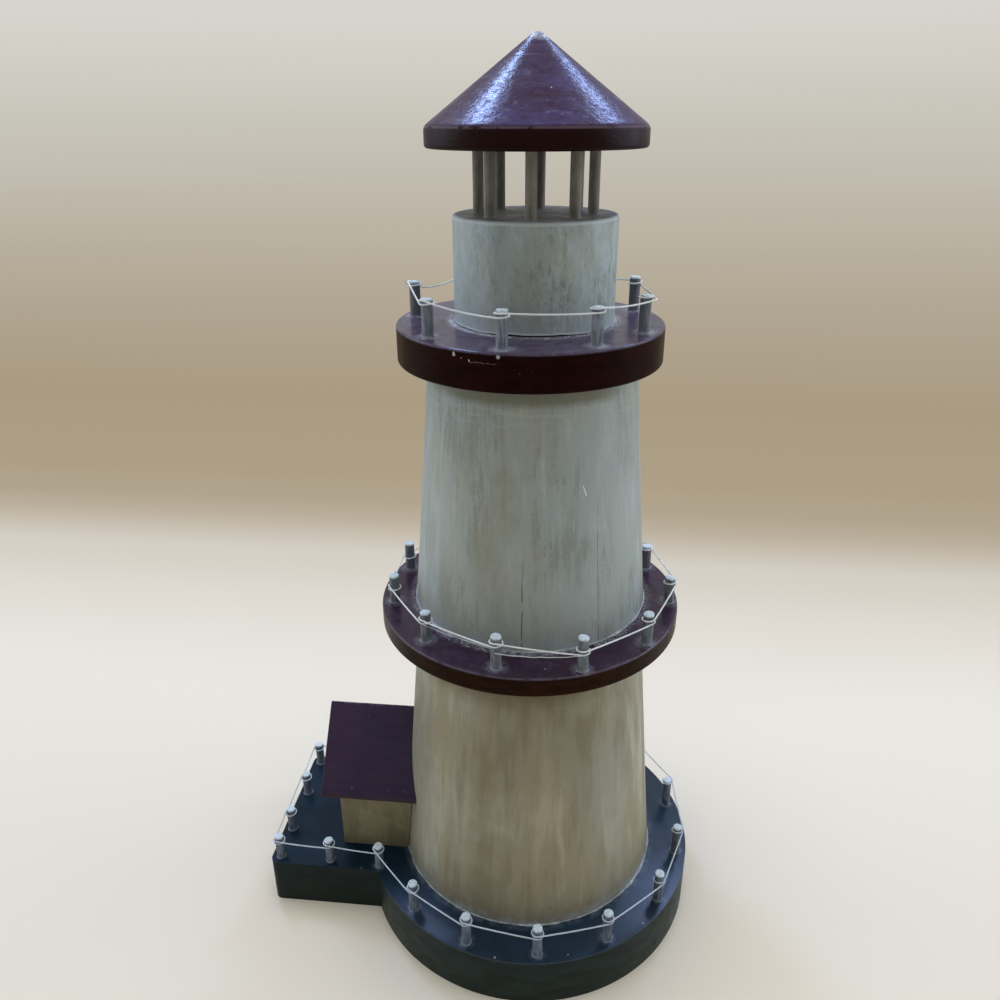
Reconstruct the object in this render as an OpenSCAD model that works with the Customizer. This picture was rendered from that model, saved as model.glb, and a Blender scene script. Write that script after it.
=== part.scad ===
// Wooden lighthouse ornament: a round two-stage tower on a keyhole-shaped base board, with two
// galleries, a lantern under a cone roof, a small gabled house, and string railings on dowel posts.
// The origin is on the tower's axis at the underside of the base board. +Z is up, the wing of the
// base board reaches towards -X, and the front of the ornament faces -Y.

/* [Base board] */
// Thickness of the base board
base_t = 19; // [15:0.5:25]
// Radius of the round part of the base board
base_r = 61.5; // [59:0.5:70]
// How far the round part sits in front of the tower's axis
base_forward = 0.7; // [0:0.1:1.5]
// How far the round part sits to the right of the tower's axis
base_right = 0.7; // [0:0.1:1.5]
// Distance from the tower's axis to the end of the wing
wing_reach = 95.7; // [90:0.1:110]
// Width of the wing
wing_w = 58.5; // [54:0.5:66]
// Radius of the wing's two corners
wing_corner_r = 2; // [0.5:0.5:5]

/* [Lower tower] */
// Radius of the lower tower at its foot
lower_foot_r = 47.5; // [44:0.5:49]
// Radius of the lower tower at its top
lower_top_r = 38.7; // [35:0.1:40]
// Height of the lower tower
lower_h = 101.6; // [90:0.1:120]

/* [Middle gallery] */
// Radius of the middle gallery
middle_r = 50.3; // [49:0.1:56]
// Thickness of the middle gallery
middle_t = 6.5; // [5.5:0.1:10]
// How far the middle gallery sits in front of the tower's axis
middle_forward = 2.4; // [0:0.1:2.5]
// Distance from the middle gallery's edge to the ring that its posts are set by
middle_inset = 4.4; // [4:0.1:5.5]

/* [Upper tower] */
// Radius of the upper tower at its foot
upper_foot_r = 39; // [36:0.1:39.5]
// Radius of the upper tower at its top
upper_top_r = 32.2; // [29:0.1:36]
// Height of the upper tower
upper_h = 82.6; // [70:0.1:100]

/* [Upper gallery] */
// Radius of the upper gallery
gallery_r = 40.3; // [38:0.1:46]
// Thickness of the upper gallery
gallery_t = 11; // [8:0.1:14]
// How far the upper gallery sits in front of the tower's axis
gallery_forward = 1; // [0:0.1:2]
// How far the upper gallery sits to the left of the tower's axis
gallery_left = 0.8; // [0:0.1:2]
// Distance from the upper gallery's edge to the centres of its posts
gallery_inset = 4.6; // [3:0.1:5.5]

/* [Lantern] */
// Radius of the lantern drum
drum_r = 24.1; // [21:0.1:26]
// Height of the lantern drum
drum_h = 30.5; // [22:0.1:40]
// How far the drum and its columns sit behind the tower's axis
drum_back = 1; // [0:0.1:2]
// How far the drum, the columns and the roof sit to the right of the tower's axis
lantern_right = 0.3; // [0:0.1:2]
// Diameter of the columns
column_d = 3.2; // [2.5:0.1:4]
// Radius of the ring that the columns stand on
column_ring_r = 16.6; // [14:0.1:18]
// Clear height between the drum and the roof
column_h = 17.6; // [12:0.1:26]
// Depth of the columns in the drum and in the roof
column_depth = 5; // [3:0.5:8]

/* [Roof] */
// Radius of the roof
roof_r = 31.3; // [28:0.1:40]
// Height of the roof's upright rim
roof_rim_t = 5.6; // [4:0.1:8]
// Height of the cone above the rim, up to the point where its sides would meet
roof_cone_h = 23.3; // [16:0.1:32]
// Radius of the rounded tip
roof_tip_r = 1.2; // [0.5:0.1:2.5]

/* [Railings] */
// Diameter of the railing posts
post_d = 3.3; // [2.5:0.1:3.8]
// Depth of the posts in the boards
post_depth = 4; // [2.5:0.1:4.5]
// Height of the posts above the upper gallery
upper_post_h = 10.7; // [7:0.1:15]
// Height of the posts above the middle gallery
middle_post_h = 10.4; // [7:0.1:15]
// Height of the posts round the base board
base_post_h = 12.4; // [10:0.1:16]
// Height of the posts on the wing and in the base board's two inner corners
wing_post_h = 10.1; // [8:0.1:15]
// Distance from the round edge of the base board to the centres of its posts
base_inset = 3.8; // [3:0.1:4.5]
// Distance from the wing's edges to the centres of its posts
wing_inset = 3.4; // [2.8:0.1:4]
// Distance from the wing's long edges to the posts in the base board's two inner corners
corner_inset = 2.4; // [2.2:0.1:4]
// Diameter of the string
string_d = 0.55; // [0.4:0.05:0.65]
// Climb of the string in one full turn round a post
string_pitch = 1.15; // [1.1:0.05:1.6]

/* [House] */
// Distance from the tower's axis to the house's end wall
house_reach = 70; // [62:0.5:78]
// Width of the house over its front and back walls
house_w = 34.4; // [28:0.2:36]
// Height of the house's walls
house_h = 26.9; // [20:0.1:35]
// Width of the house's roof over both eaves
house_roof_w = 44; // [38:0.5:54]
// Height of the roof's upright eave edges
house_eave_t = 1.7; // [1:0.1:4]
// Rise of the house's roof from the eaves to the ridge
house_roof_rise = 25.6; // [15:0.1:35]
// Overhang of the roof past the end wall
gable_overhang = 5.5; // [2:0.5:9]

/* [Hidden dowels and fits] */
// Diameter of the dowels between the turned blocks
dowel_d = 8; // [5:0.5:12]
// Depth of each dowel in the blocks that it joins
dowel_depth = 12; // [8:0.5:14]
// Radial clearance of dowels, posts and columns in their holes
hole_gap = 0.05; // [0.02:0.01:0.1]
// Clearance at the upper end of dowels and columns
end_gap = 0.3; // [0.1:0.1:1]
// Clearance between the house and the tower
house_gap = 0.2; // [0.1:0.1:0.5]
// Clearance between the string and the posts
string_gap = 0.05; // [0.02:0.01:0.2]
// Radius of the eased edges of galleries, drum and roof rim
edge_r = 0.7; // [0.3:0.1:1.5]

/* [Hidden] */
$fn = 72;
COLUMN_COUNT = 8;
COLUMN_TURN = -0.8; // degrees from the X axis to the first column
ARC_STEPS = 5;
STRING_SIDES = 6;
TURN_STEPS = 8; // rings in one full turn of the string
SPAN_STEPS = 4; // pieces in the string between two posts
CUT_OVER = 1; // how far a cutting solid runs past the face that it opens

// Hand-set posts: angles round the galleries and the base board, anticlockwise from +X
UPPER_ANGLES = [175, 221, 262, 304, 339, 28, 77, 126];
MIDDLE_ANGLES = [164, 193, 227.4, 261.5, 293.5, 324.4, 357.4, 27.6, 61, 95, 129];
BASE_ANGLES = [229, 252.5, 277, 302, 328, 352, 17, 40, 63, 86, 108.5, 131];
WING_END_Y = [7.6, -12]; // the two posts between the wing's corner posts
// How far each post on the middle gallery stands outside its ring, and how much taller it is
MIDDLE_OUT = [0, 0, -1.5, -0.4, 1.7, 1.7, 1.4, 0.2, 0, 0, 0];
MIDDLE_RISES = [0, -0.4, 0, 0.8, 1.1, 0.4, -0.7, -1.5, 0, 0, 0];

// The string on each post: how far its middle lies below the post's top, in the posts' order
UPPER_DROPS = [0.9, 1.0, 1.5, 0.9, 0.9, 2.2, 2.0, 1.6];
MIDDLE_DROPS = [5.3, 4.6, 2.9, 2.4, 4.6, 2.3, 2.2, 1.2, 2.5, 3.5, 4.0];
BASE_DROPS = [1.7, 2.5, 2.2, 2.7, 2.8, 3.4, 1.8, 1.0, 1.8, 2.4, 2.6, 2.4, 2.2, 1.8];
WING_DROPS = [1.9, 2.1, 1.9, 1.9, 2.1, 1.9];
// How far the string sags after each post
UPPER_SAGS = [0.1, 0.7, 0.4, 0.5, 0.1, 0.5, 0.9, 2.4];
STRING_SAG = 0.3;

BASE_COLOR = [0.07, 0.13, 0.15];
TOWER_COLOR = [0.62, 0.61, 0.52];
WINE_COLOR = [0.22, 0.07, 0.09];
WALL_COLOR = [0.52, 0.49, 0.36];
DOWEL_COLOR = [0.55, 0.56, 0.52];
STRING_COLOR = [0.85, 0.85, 0.8];

// Levels of the stacked blocks
lower_z = base_t;
middle_z = lower_z + lower_h;
upper_z = middle_z + middle_t;
gallery_z = upper_z + upper_h;
drum_z = gallery_z + gallery_t;
column_z = drum_z + drum_h;
roof_z = column_z + column_h;

// Centres of the parts that were glued a little off the tower's axis
base_centre = [base_right, -base_forward];
middle_centre = [0, -middle_forward];
gallery_centre = [-gallery_left, -gallery_forward];
drum_centre = [lantern_right, drum_back];
roof_centre = [lantern_right, 0];

post_r = post_d / 2;
string_r = string_d / 2;
// The string's middle lies on this radius round a post, so that its chords clear the post
wrap_r = (post_r + string_gap) / cos(180 / TURN_STEPS) + string_r;

// Places of the posts in plan
function on_ring(centre, r, angle) = centre + r * [cos(angle), sin(angle)];
// Where the wing's long edge meets the round part: side is -1 in front and 1 behind
function corner_x(side) =
    base_right - sqrt(base_r * base_r - pow(side * wing_w / 2 + base_forward, 2));

upper_places = [for (a = UPPER_ANGLES) on_ring(gallery_centre, gallery_r - gallery_inset, a)];
middle_places = [for (i = [0:len(MIDDLE_ANGLES) - 1])
    on_ring(middle_centre, middle_r - middle_inset + MIDDLE_OUT[i], MIDDLE_ANGLES[i])];
middle_heights = [for (rise = MIDDLE_RISES) middle_post_h + rise];
wing_row_y = wing_w / 2 - wing_inset;
wing_end_x = -wing_reach + wing_inset;
corner_row_y = wing_w / 2 - corner_inset;
base_places = concat(
    [[corner_x(-1), -corner_row_y]],
    [for (a = BASE_ANGLES) on_ring(base_centre, base_r - base_inset, a)],
    [[corner_x(1), corner_row_y]]
);
base_heights = concat([wing_post_h], [for (a = BASE_ANGLES) base_post_h], [wing_post_h]);
wing_places = concat(
    [[(corner_x(1) + wing_end_x) / 2, wing_row_y], [wing_end_x, wing_row_y]],
    [for (y = WING_END_Y) [wing_end_x, y]],
    [[wing_end_x, -wing_row_y], [(corner_x(-1) + wing_end_x) / 2, -wing_row_y]]
);
column_places = [for (i = [0:COLUMN_COUNT - 1])
    on_ring(drum_centre, column_ring_r, COLUMN_TURN + 360 * i / COLUMN_COUNT)];

function numbered(name, count) = [for (i = [1:count]) str(name, "_", i)];

// Points of an arc in plan or in profile
function arc(centre, r, from, to) =
    [for (k = [0:ARC_STEPS]) centre + r * [cos(from + (to - from) * k / ARC_STEPS),
                                           sin(from + (to - from) * k / ARC_STEPS)]];

// A turned disc with eased edges
module turned_disc(r, t) {
    rotate_extrude()
        polygon(concat(
            [[0, 0]],
            arc([r - edge_r, edge_r], edge_r, -90, 0),
            arc([r - edge_r, t - edge_r], edge_r, 0, 90),
            [[0, t]]
        ));
}

// A blind or open hole from a face at height z: down when depth is positive, up when it is negative
module hole(place, z, d, depth) {
    over = depth > 0 ? CUT_OVER : -CUT_OVER;
    translate([place.x, place.y, min(z - depth, z + over)])
        cylinder(h = abs(depth + over), r = d / 2 + hole_gap);
}

module post_holes(places, z) {
    for (p = places) hole(p, z, post_d, post_depth);
}

module post(place, z, h) {
    color(DOWEL_COLOR)
        translate([place.x, place.y, z - post_depth])
            cylinder(h = post_depth + h, d = post_d);
}

module base_outline() {
    translate(base_centre) circle(base_r);
    translate([-wing_reach + wing_corner_r, -wing_w / 2])
        square([wing_reach - wing_corner_r, wing_w]);
    translate([-wing_reach, -wing_w / 2 + wing_corner_r])
        square([2 * wing_corner_r, wing_w - 2 * wing_corner_r]);
    for (side = [-1, 1])
        translate([-wing_reach + wing_corner_r, side * (wing_w / 2 - wing_corner_r)])
            circle(wing_corner_r);
}

module base_board() {
    color(BASE_COLOR)
        difference() {
            linear_extrude(base_t) base_outline();
            post_holes(base_places, base_t);
            post_holes(wing_places, base_t);
            hole([0, 0], base_t, dowel_d, dowel_depth);
        }
}

module lower_tower() {
    color(TOWER_COLOR)
        difference() {
            translate([0, 0, lower_z]) cylinder(h = lower_h, r1 = lower_foot_r, r2 = lower_top_r);
            hole([0, 0], lower_z, dowel_d, -dowel_depth);
            hole([0, 0], middle_z, dowel_d, dowel_depth);
        }
}

module middle_gallery() {
    color(WINE_COLOR)
        difference() {
            translate([middle_centre.x, middle_centre.y, middle_z]) turned_disc(middle_r, middle_t);
            post_holes(middle_places, upper_z);
            hole([0, 0], upper_z, dowel_d, middle_t + CUT_OVER);
        }
}

module upper_tower() {
    color(TOWER_COLOR)
        difference() {
            translate([0, 0, upper_z]) cylinder(h = upper_h, r1 = upper_foot_r, r2 = upper_top_r);
            hole([0, 0], upper_z, dowel_d, -dowel_depth);
            hole([0, 0], gallery_z, dowel_d, dowel_depth);
        }
}

module upper_gallery() {
    color(WINE_COLOR)
        difference() {
            translate([gallery_centre.x, gallery_centre.y, gallery_z]) turned_disc(gallery_r, gallery_t);
            post_holes(upper_places, drum_z);
            hole([0, 0], drum_z, dowel_d, gallery_t + CUT_OVER);
        }
}

module lantern_drum() {
    color(TOWER_COLOR)
        difference() {
            translate([drum_centre.x, drum_centre.y, drum_z])
                rotate_extrude()
                    polygon(concat(
                        [[0, 0], [drum_r, 0]],
                        arc([drum_r - edge_r, drum_h - edge_r], edge_r, 0, 90),
                        [[0, drum_h]]
                    ));
            for (p = column_places) hole(p, column_z, column_d, column_depth);
            hole([0, 0], drum_z, dowel_d, -dowel_depth);
        }
}

module column(place) {
    color(DOWEL_COLOR)
        translate([place.x, place.y, column_z - column_depth])
            cylinder(h = column_h + 2 * column_depth - end_gap, d = column_d);
}

// The cone's sides slope at this angle, and its tip and upper rim edge are arcs that touch them
roof_slope = atan(roof_cone_h / roof_r);
roof_rim_arc_z = roof_rim_t - edge_r * (1 / cos(roof_slope) - tan(roof_slope));
roof_tip_arc_z = roof_rim_t + roof_cone_h - roof_tip_r / cos(roof_slope);

module roof() {
    color(WINE_COLOR)
        difference() {
            translate([roof_centre.x, roof_centre.y, roof_z])
                rotate_extrude()
                    polygon(concat(
                        [[0, 0]],
                        arc([roof_r - edge_r, edge_r], edge_r, -90, 0),
                        arc([roof_r - edge_r, roof_rim_arc_z], edge_r, 0, 90 - roof_slope),
                        arc([0, roof_tip_arc_z], roof_tip_r, 90 - roof_slope, 90)
                    ));
            for (p = column_places) hole(p, roof_z, column_d, -column_depth);
        }
}

// Where the lower tower stands, with the house's clearance round it
module tower_cut() {
    slope = (lower_top_r - lower_foot_r) / lower_h;
    translate([0, 0, lower_z - CUT_OVER])
        cylinder(
            h = lower_h,
            r1 = lower_foot_r - slope * CUT_OVER + house_gap,
            r2 = lower_top_r - slope * CUT_OVER + house_gap
        );
}

module house_body() {
    color(WALL_COLOR)
        difference() {
            translate([-house_reach, -house_w / 2, base_t]) cube([house_reach, house_w, house_h]);
            tower_cut();
        }
}

module house_roof() {
    half_w = house_roof_w / 2;
    ridge_h = house_eave_t + house_roof_rise;
    color(WINE_COLOR)
        difference() {
            translate([-house_reach - gable_overhang, 0, base_t + house_h])
                rotate([90, 0, 90])
                    linear_extrude(house_reach + gable_overhang)
                        polygon([[-half_w, 0], [half_w, 0], [half_w, house_eave_t],
                                 [0, ridge_h], [-half_w, house_eave_t]]);
            tower_cut();
        }
}

// A dowel that stands in the block below level z and reaches through a board of thickness t
module dowel(z, t) {
    color(DOWEL_COLOR)
        translate([0, 0, z - dowel_depth])
            cylinder(h = 2 * dowel_depth + t - end_gap, d = dowel_d);
}

module base_dowel() { dowel(base_t, 0); }
module middle_dowel() { dowel(middle_z, middle_t); }
module upper_dowel() { dowel(gallery_z, gallery_t); }

// The string's route: it passes outside each post, takes one full turn round it while it climbs,
// and runs on to the next post, where it starts lower again
function outward(a, b) = [b.y - a.y, a.x - b.x] / norm(b - a);
function heading(v) = atan2(v.y, v.x);
function signed_turn(a) = a > 180 ? a - 360 : (a < -180 ? a + 360 : a);
function post_turn(place, arrive, leave, level) =
    let (
        from = heading(arrive),
        sweep = 360 + signed_turn(heading(leave) - from),
        climb = string_pitch * sweep / 360,
        steps = ceil(sweep * TURN_STEPS / 360)
    )
    [for (k = [0:steps])
        [place.x + wrap_r * cos(from + sweep * k / steps),
         place.y + wrap_r * sin(from + sweep * k / steps),
         level + climb * (k / steps - 0.5)]];
function span(a, b, sag) =
    [for (k = [1:SPAN_STEPS - 1])
        let (s = k / SPAN_STEPS) a + (b - a) * s - [0, 0, 4 * sag * s * (1 - s)]];
function turns(places, levels) =
    let (n = len(places))
    [for (i = [0:n - 1])
        post_turn(
            places[i],
            outward(places[(i + n - 1) % n], places[i]),
            outward(places[i], places[(i + 1) % n]),
            levels[i]
        )];
function route(places, levels, sags) =
    let (all = turns(places, levels), n = len(all))
    [for (i = [0:n - 1])
        each concat(all[i], span(all[i][len(all[i]) - 1], all[(i + 1) % n][0], sags[i]))];

// A closed tube along a route, whose rings stand square to it
module tube(points) {
    n = len(points);
    rings = [for (i = [0:n - 1])
        let (
            ahead = points[(i + 1) % n] - points[(i + n - 1) % n],
            t = ahead / norm(ahead),
            side = cross(t, [0, 0, 1]) / norm(cross(t, [0, 0, 1])),
            up = cross(side, t)
        )
        each [for (j = [0:STRING_SIDES - 1])
            let (a = 360 * (j + 0.5) / STRING_SIDES)
            points[i] + string_r * (cos(a) * side + sin(a) * up)]];
    faces = [for (i = [0:n - 1], j = [0:STRING_SIDES - 1])
        let (
            next_i = (i + 1) % n,
            next_j = (j + 1) % STRING_SIDES,
            a = i * STRING_SIDES + j,
            b = i * STRING_SIDES + next_j,
            c = next_i * STRING_SIDES + next_j,
            d = next_i * STRING_SIDES + j
        )
        each [[a, b, c], [a, c, d]]];
    polyhedron(rings, faces);
}

// Least gap between two stretches of the string near one post, measured on its points
function turn_gap(loop) =
    let (n = len(loop))
    min([for (i = [0:n - 1], j = [0:n - 1])
        if (j - i > TURN_STEPS / 2) norm(loop[i] - loop[j]) - string_d]);
function string_length(points) =
    let (n = len(points))
    [for (i = 0, sum = 0; i < n; sum = sum + norm(points[(i + 1) % n] - points[i]), i = i + 1) sum][n - 1];

module string(name, places, levels, sags) {
    points = route(places, levels, sags);
    echo(str(name, ": length ", string_length(points), " mm, least gap to itself ",
             min([for (loop = turns(places, levels)) turn_gap(loop)]), " mm"));
    color(STRING_COLOR) tube(points);
}

module upper_string() {
    top = drum_z + upper_post_h;
    string("upper string", upper_places, [for (d = UPPER_DROPS) top - d], UPPER_SAGS);
}

module middle_string() {
    levels = [for (i = [0:len(middle_places) - 1]) upper_z + middle_heights[i] - MIDDLE_DROPS[i]];
    string("middle string", middle_places, levels, [for (p = middle_places) STRING_SAG]);
}

module base_string() {
    places = concat(base_places, wing_places);
    heights = concat(base_heights, [for (p = wing_places) wing_post_h]);
    drops = concat(BASE_DROPS, WING_DROPS);
    levels = [for (i = [0:len(places) - 1]) base_t + heights[i] - drops[i]];
    string("base string", places, levels, [for (p = places) STRING_SAG]);
}

module wing_posts() {
    for (p = wing_places) post(p, base_t, wing_post_h);
}

base_board();
lower_tower();
middle_gallery();
upper_tower();
upper_gallery();
lantern_drum();
roof();
house_body();
house_roof();
base_dowel();
middle_dowel();
upper_dowel();
for (i = [0:len(column_places) - 1])
    column(column_places[i]);
for (i = [0:len(upper_places) - 1])
    post(upper_places[i], drum_z, upper_post_h);
for (i = [0:len(middle_places) - 1])
    post(middle_places[i], upper_z, middle_heights[i]);
for (i = [0:len(base_places) - 1])
    post(base_places[i], base_t, base_heights[i]);
wing_posts();
upper_string();
middle_string();
base_string();
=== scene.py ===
"""Looks of a painted wooden lighthouse ornament: its paints, posts, twine railings, house and stage."""
import math
import random

import bmesh
import bpy
from bpy.props import FloatProperty, FloatVectorProperty, IntProperty, PointerProperty
from mathutils import Matrix, Vector, noise


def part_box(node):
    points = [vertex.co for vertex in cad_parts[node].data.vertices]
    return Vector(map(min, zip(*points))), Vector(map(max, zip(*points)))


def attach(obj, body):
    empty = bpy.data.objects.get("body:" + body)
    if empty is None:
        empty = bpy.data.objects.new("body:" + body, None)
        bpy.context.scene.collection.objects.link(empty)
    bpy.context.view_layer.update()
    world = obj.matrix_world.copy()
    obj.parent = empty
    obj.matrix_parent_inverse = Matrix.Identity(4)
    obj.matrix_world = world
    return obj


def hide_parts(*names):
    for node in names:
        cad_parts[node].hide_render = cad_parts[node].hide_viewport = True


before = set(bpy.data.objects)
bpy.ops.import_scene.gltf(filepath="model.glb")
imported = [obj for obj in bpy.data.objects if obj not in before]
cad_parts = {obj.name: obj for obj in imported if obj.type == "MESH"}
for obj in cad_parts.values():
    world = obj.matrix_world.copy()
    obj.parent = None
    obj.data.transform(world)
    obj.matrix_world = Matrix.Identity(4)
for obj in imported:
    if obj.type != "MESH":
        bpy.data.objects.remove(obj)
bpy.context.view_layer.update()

bl_info = {
    "name": "Lighthouse Ornament",
    "version": (1, 0, 0),
    "blender": (4, 5, 0),
    "location": "3D View > Sidebar > Lighthouse",
    "description": "Dresses the frame of a wooden lighthouse ornament and sets it on a stage",
    "category": "Object",
}

MM = 0.001
# Radius of the lower tower at its top, as in the frame
LOWER_TOWER_TOP = 38.7 * MM
# The camera's place in mm, and how far it looks down, to the side and is tilted, in degrees
CAMERA_PLACE = (16.58, -256.35, 277.08)
CAMERA_ANGLES = (24.38, -5.98, -0.25)


def centre_of(node):
    low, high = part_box(node)
    return (low + high) / 2


def radius_of(node):
    low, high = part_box(node)
    return (high.x - low.x) / 2


def numbered(name):
    found = [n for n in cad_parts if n.startswith(name) and n[len(name):].isdigit()]
    return sorted(found, key=lambda n: int(n[len(name):]))


def toned(colour, share):
    """A colour times a number, or times one number for each of its channels."""
    shares = share if isinstance(share, tuple) else (share,) * 3
    return [x * y for x, y in zip(colour, shares)]


def in_mm(*spots):
    """Places with their radii, given as x, y, z and radius in mm."""
    return [((x * MM, y * MM, z * MM), r * MM) for x, y, z, r in spots]


# The string on each post, as in the frame: how far its middle lies below the post's top, in mm
UPPER_DROPS = (0.9, 1.0, 1.5, 0.9, 0.9, 2.2, 2.0, 1.6)
MIDDLE_DROPS = (5.3, 4.6, 2.9, 2.4, 4.6, 2.3, 2.2, 1.2, 2.5, 3.5, 4.0)
BASE_DROPS = (1.7, 2.5, 2.2, 2.7, 2.8, 3.4, 1.8, 1.0, 1.8, 2.4, 2.6, 2.4, 2.2, 1.8,
              1.9, 2.1, 1.9, 1.9, 2.1, 1.9)
UPPER_SAGS = (0.1, 0.7, 0.4, 0.5, 0.1, 0.5, 0.9, 2.4)
# Where the drum stands off its gallery, in degrees round the drum
DRUM_GAP = (-168, -43)


def size(name, description, default, low=0.0):
    return FloatProperty(name=name, description=description, default=default, min=low,
                         subtype="DISTANCE", unit="LENGTH", precision=5)


def colour(name, description, default):
    return FloatVectorProperty(name=name, description=description, default=default, min=0, max=1,
                               size=3, subtype="COLOR")


class OrnamentSizes(bpy.types.PropertyGroup):
    """Sizes of what is modelled on the frame"""
    wing_width: size("Wing width", "Width of the base board's wing", 58.5 * MM)
    wing_corner: size("Wing corner", "Radius of the wing's two corners", 2.6 * MM)
    board_edge: size("Board edge", "Radius of the base board's eased edges", 1.2 * MM)
    roof_rim: size("Roof rim", "Height of the roof's upright rim", 5.6 * MM)
    roof_edge: size("Roof edge", "Width of the eased edges of the roof's rim", 1.1 * MM)
    roof_tip: size("Roof tip", "Radius of the roof's blunt tip", 0.9 * MM)
    house_edge: size("House edge", "Radius of the house's eased edges", 0.35 * MM)
    eave: size("Eave", "Height of the house roof's upright eave edges", 1.7 * MM)
    house_gap: size("House gap", "Clearance between the house and the tower", 0.2 * MM)
    post_edge: size("Post edge", "Radius of the eased edge round a post's top", 0.3 * MM)
    post_depth: size("Post depth", "Depth of the posts in the boards", 4 * MM)
    column_depth: size("Column depth", "Depth of the columns in the drum", 5 * MM)
    collar: size("Collar", "How far the paint at a post's foot spreads", 0.4 * MM)
    string: size("String", "Diameter of the string", 0.55 * MM)
    string_lay: size("String lay", "Length of one full twist of the string", 2.4 * MM)
    string_climb: size("String climb", "Climb of the string in one turn round a post", 1.15 * MM)
    plies: IntProperty(name="Plies", description="Number of yarns in the string", default=3, min=2, max=4)
    bead: size("Glue bead", "Radius of the glue that squeezed out round the tower", 0.5 * MM)
    crumb: size("Crumb", "Largest radius of the crumbs of dried paint", 0.32 * MM)


class OrnamentColours(bpy.types.PropertyGroup):
    """Colours of the paints, washes and twine"""
    # Wine and dark wine are lit and shaded copies of one paint: the tops' lighter violet colour holds a
    # painted reflection, the sides' near-black a painted shade
    wine: colour("Wine", "Wine red of roof and galleries", (0.030, 0.010, 0.028))
    wine_dark: colour("Dark wine", "Brown-red of the boards' sides", (0.011, 0.0016, 0.001))
    # Painted reflection: a violet sheen painted into the roof's colour, for the room's light in its gloss
    sheen: colour("Painted sheen", "Painted violet reflection on the roof", (0.052, 0.037, 0.118))
    # The galleries' dust colour also holds a painted sheen, the violet of the room's light in their gloss
    dust: colour("Dust and sheen", "Dust and painted sheen on the galleries", (0.092, 0.08, 0.13))
    # Green and dark green are lit and shaded copies of one paint: the top's bluer colour holds a painted
    # reflection
    green: colour("Green", "Dark blue-green of the base board's top", (0.007, 0.020, 0.036))
    green_dark: colour("Dark green", "Green-black of the base board's sides", (0.012, 0.022, 0.02))
    upper_pale: colour("Upper wash, pale", "Pale strokes of the upper tower", (0.42, 0.475, 0.465))
    upper_mid: colour("Upper wash", "Ground of the upper tower", (0.355, 0.39, 0.365))
    upper_deep: colour("Upper wash, deep", "Deep strokes of the upper tower", (0.285, 0.305, 0.27))
    lower_pale: colour("Lower wash, pale", "Pale strokes of the lower tower", (0.4, 0.385, 0.3))
    lower_mid: colour("Lower wash", "Ground of the lower tower", (0.318, 0.29, 0.207))
    lower_deep: colour("Lower wash, deep", "Deep strokes of the lower tower", (0.25, 0.22, 0.14))
    wall: colour("Wall", "Olive cream of the house walls", (0.22, 0.195, 0.115))
    post: colour("Post", "Silver grey of the posts", (0.175, 0.19, 0.21))
    post_end: colour("Post end", "Whitish cut ends of the posts", (0.66, 0.78, 0.86))
    column: colour("Column", "Olive grey of the columns", (0.19, 0.178, 0.145))
    glue: colour("Glue", "Dried glue and paint", (0.42, 0.47, 0.5))
    string: colour("String", "White of the string", (0.93, 0.97, 1.0))
    string_aged: colour("Aged string", "Bluish grey of the string round the base board", (0.64, 0.72, 0.83))
    bare: colour("Bare wood", "Bare wood of the hidden dowels", (0.62, 0.44, 0.25))


class StageSettings(bpy.types.PropertyGroup):
    """Camera, floor and light"""
    focal: FloatProperty(name="Focal length", description="Focal length of the camera in millimetres",
                         default=30.576, min=10, max=200)
    floor: colour("Floor", "Colour of the floor", (0.73, 0.675, 0.565))
    room: FloatProperty(name="Room light", description="Strength of the light from all round",
                        default=0.33, min=0)
    lamp: FloatProperty(name="Back lamps", description="Radiance of the two lamps behind the tower",
                        default=22.0, min=0)
    side: FloatProperty(name="Side light", description="Radiance of the soft boxes beside the tower",
                        default=1.95, min=0)
    top: FloatProperty(name="Top light", description="Radiance of the soft box over the tower",
                       default=3.3, min=0)


# Modelling in edit mode

def deselect():
    if bpy.context.mode != "OBJECT":
        bpy.ops.object.mode_set(mode="OBJECT")
    bpy.ops.object.select_all(action="DESELECT")


def only(piece):
    deselect()
    piece.select_set(True)
    bpy.context.view_layer.objects.active = piece
    return piece


def added(name):
    """The primitive that was just added, renamed, with its place put into its mesh."""
    piece = bpy.context.view_layer.objects.active
    piece.name = piece.data.name = name
    bpy.ops.object.transform_apply(location=True, rotation=True, scale=True)
    return piece


def edit(piece, mode="FACE"):
    only(piece)
    bpy.ops.object.mode_set(mode="EDIT")
    bpy.ops.mesh.select_mode(type=mode)
    bpy.ops.mesh.select_all(action="DESELECT")


def done_editing():
    bpy.ops.object.mode_set(mode="OBJECT")


def pick(piece, kind, test):
    """Selects the vertices, edges or faces of the piece in edit mode that pass a test."""
    mesh = bmesh.from_edit_mesh(piece.data)
    bpy.ops.mesh.select_all(action="DESELECT")
    count = 0
    for part in getattr(mesh, kind):
        if test(part):
            part.select_set(True)
            count += 1
    mesh.select_flush_mode()
    bmesh.update_edit_mesh(piece.data)
    if not count:
        raise RuntimeError(f"nothing to select on {piece.name}")


def apply(piece, kind, **settings):
    only(piece)
    modifier = piece.modifiers.new(kind.title(), kind)
    for name, value in settings.items():
        setattr(modifier, name, value)
    bpy.ops.object.modifier_apply(modifier=modifier.name)


def combine(piece, other, operation):
    """Joins a second closed shape to the piece, or cuts it away, and removes the second shape."""
    apply(piece, "BOOLEAN", operation=operation, object=other, solver="EXACT")
    bpy.data.meshes.remove(other.data)


def smooth(piece, degrees=35):
    only(piece)
    bpy.ops.object.shade_smooth_by_angle(angle=math.radians(degrees))


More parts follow.
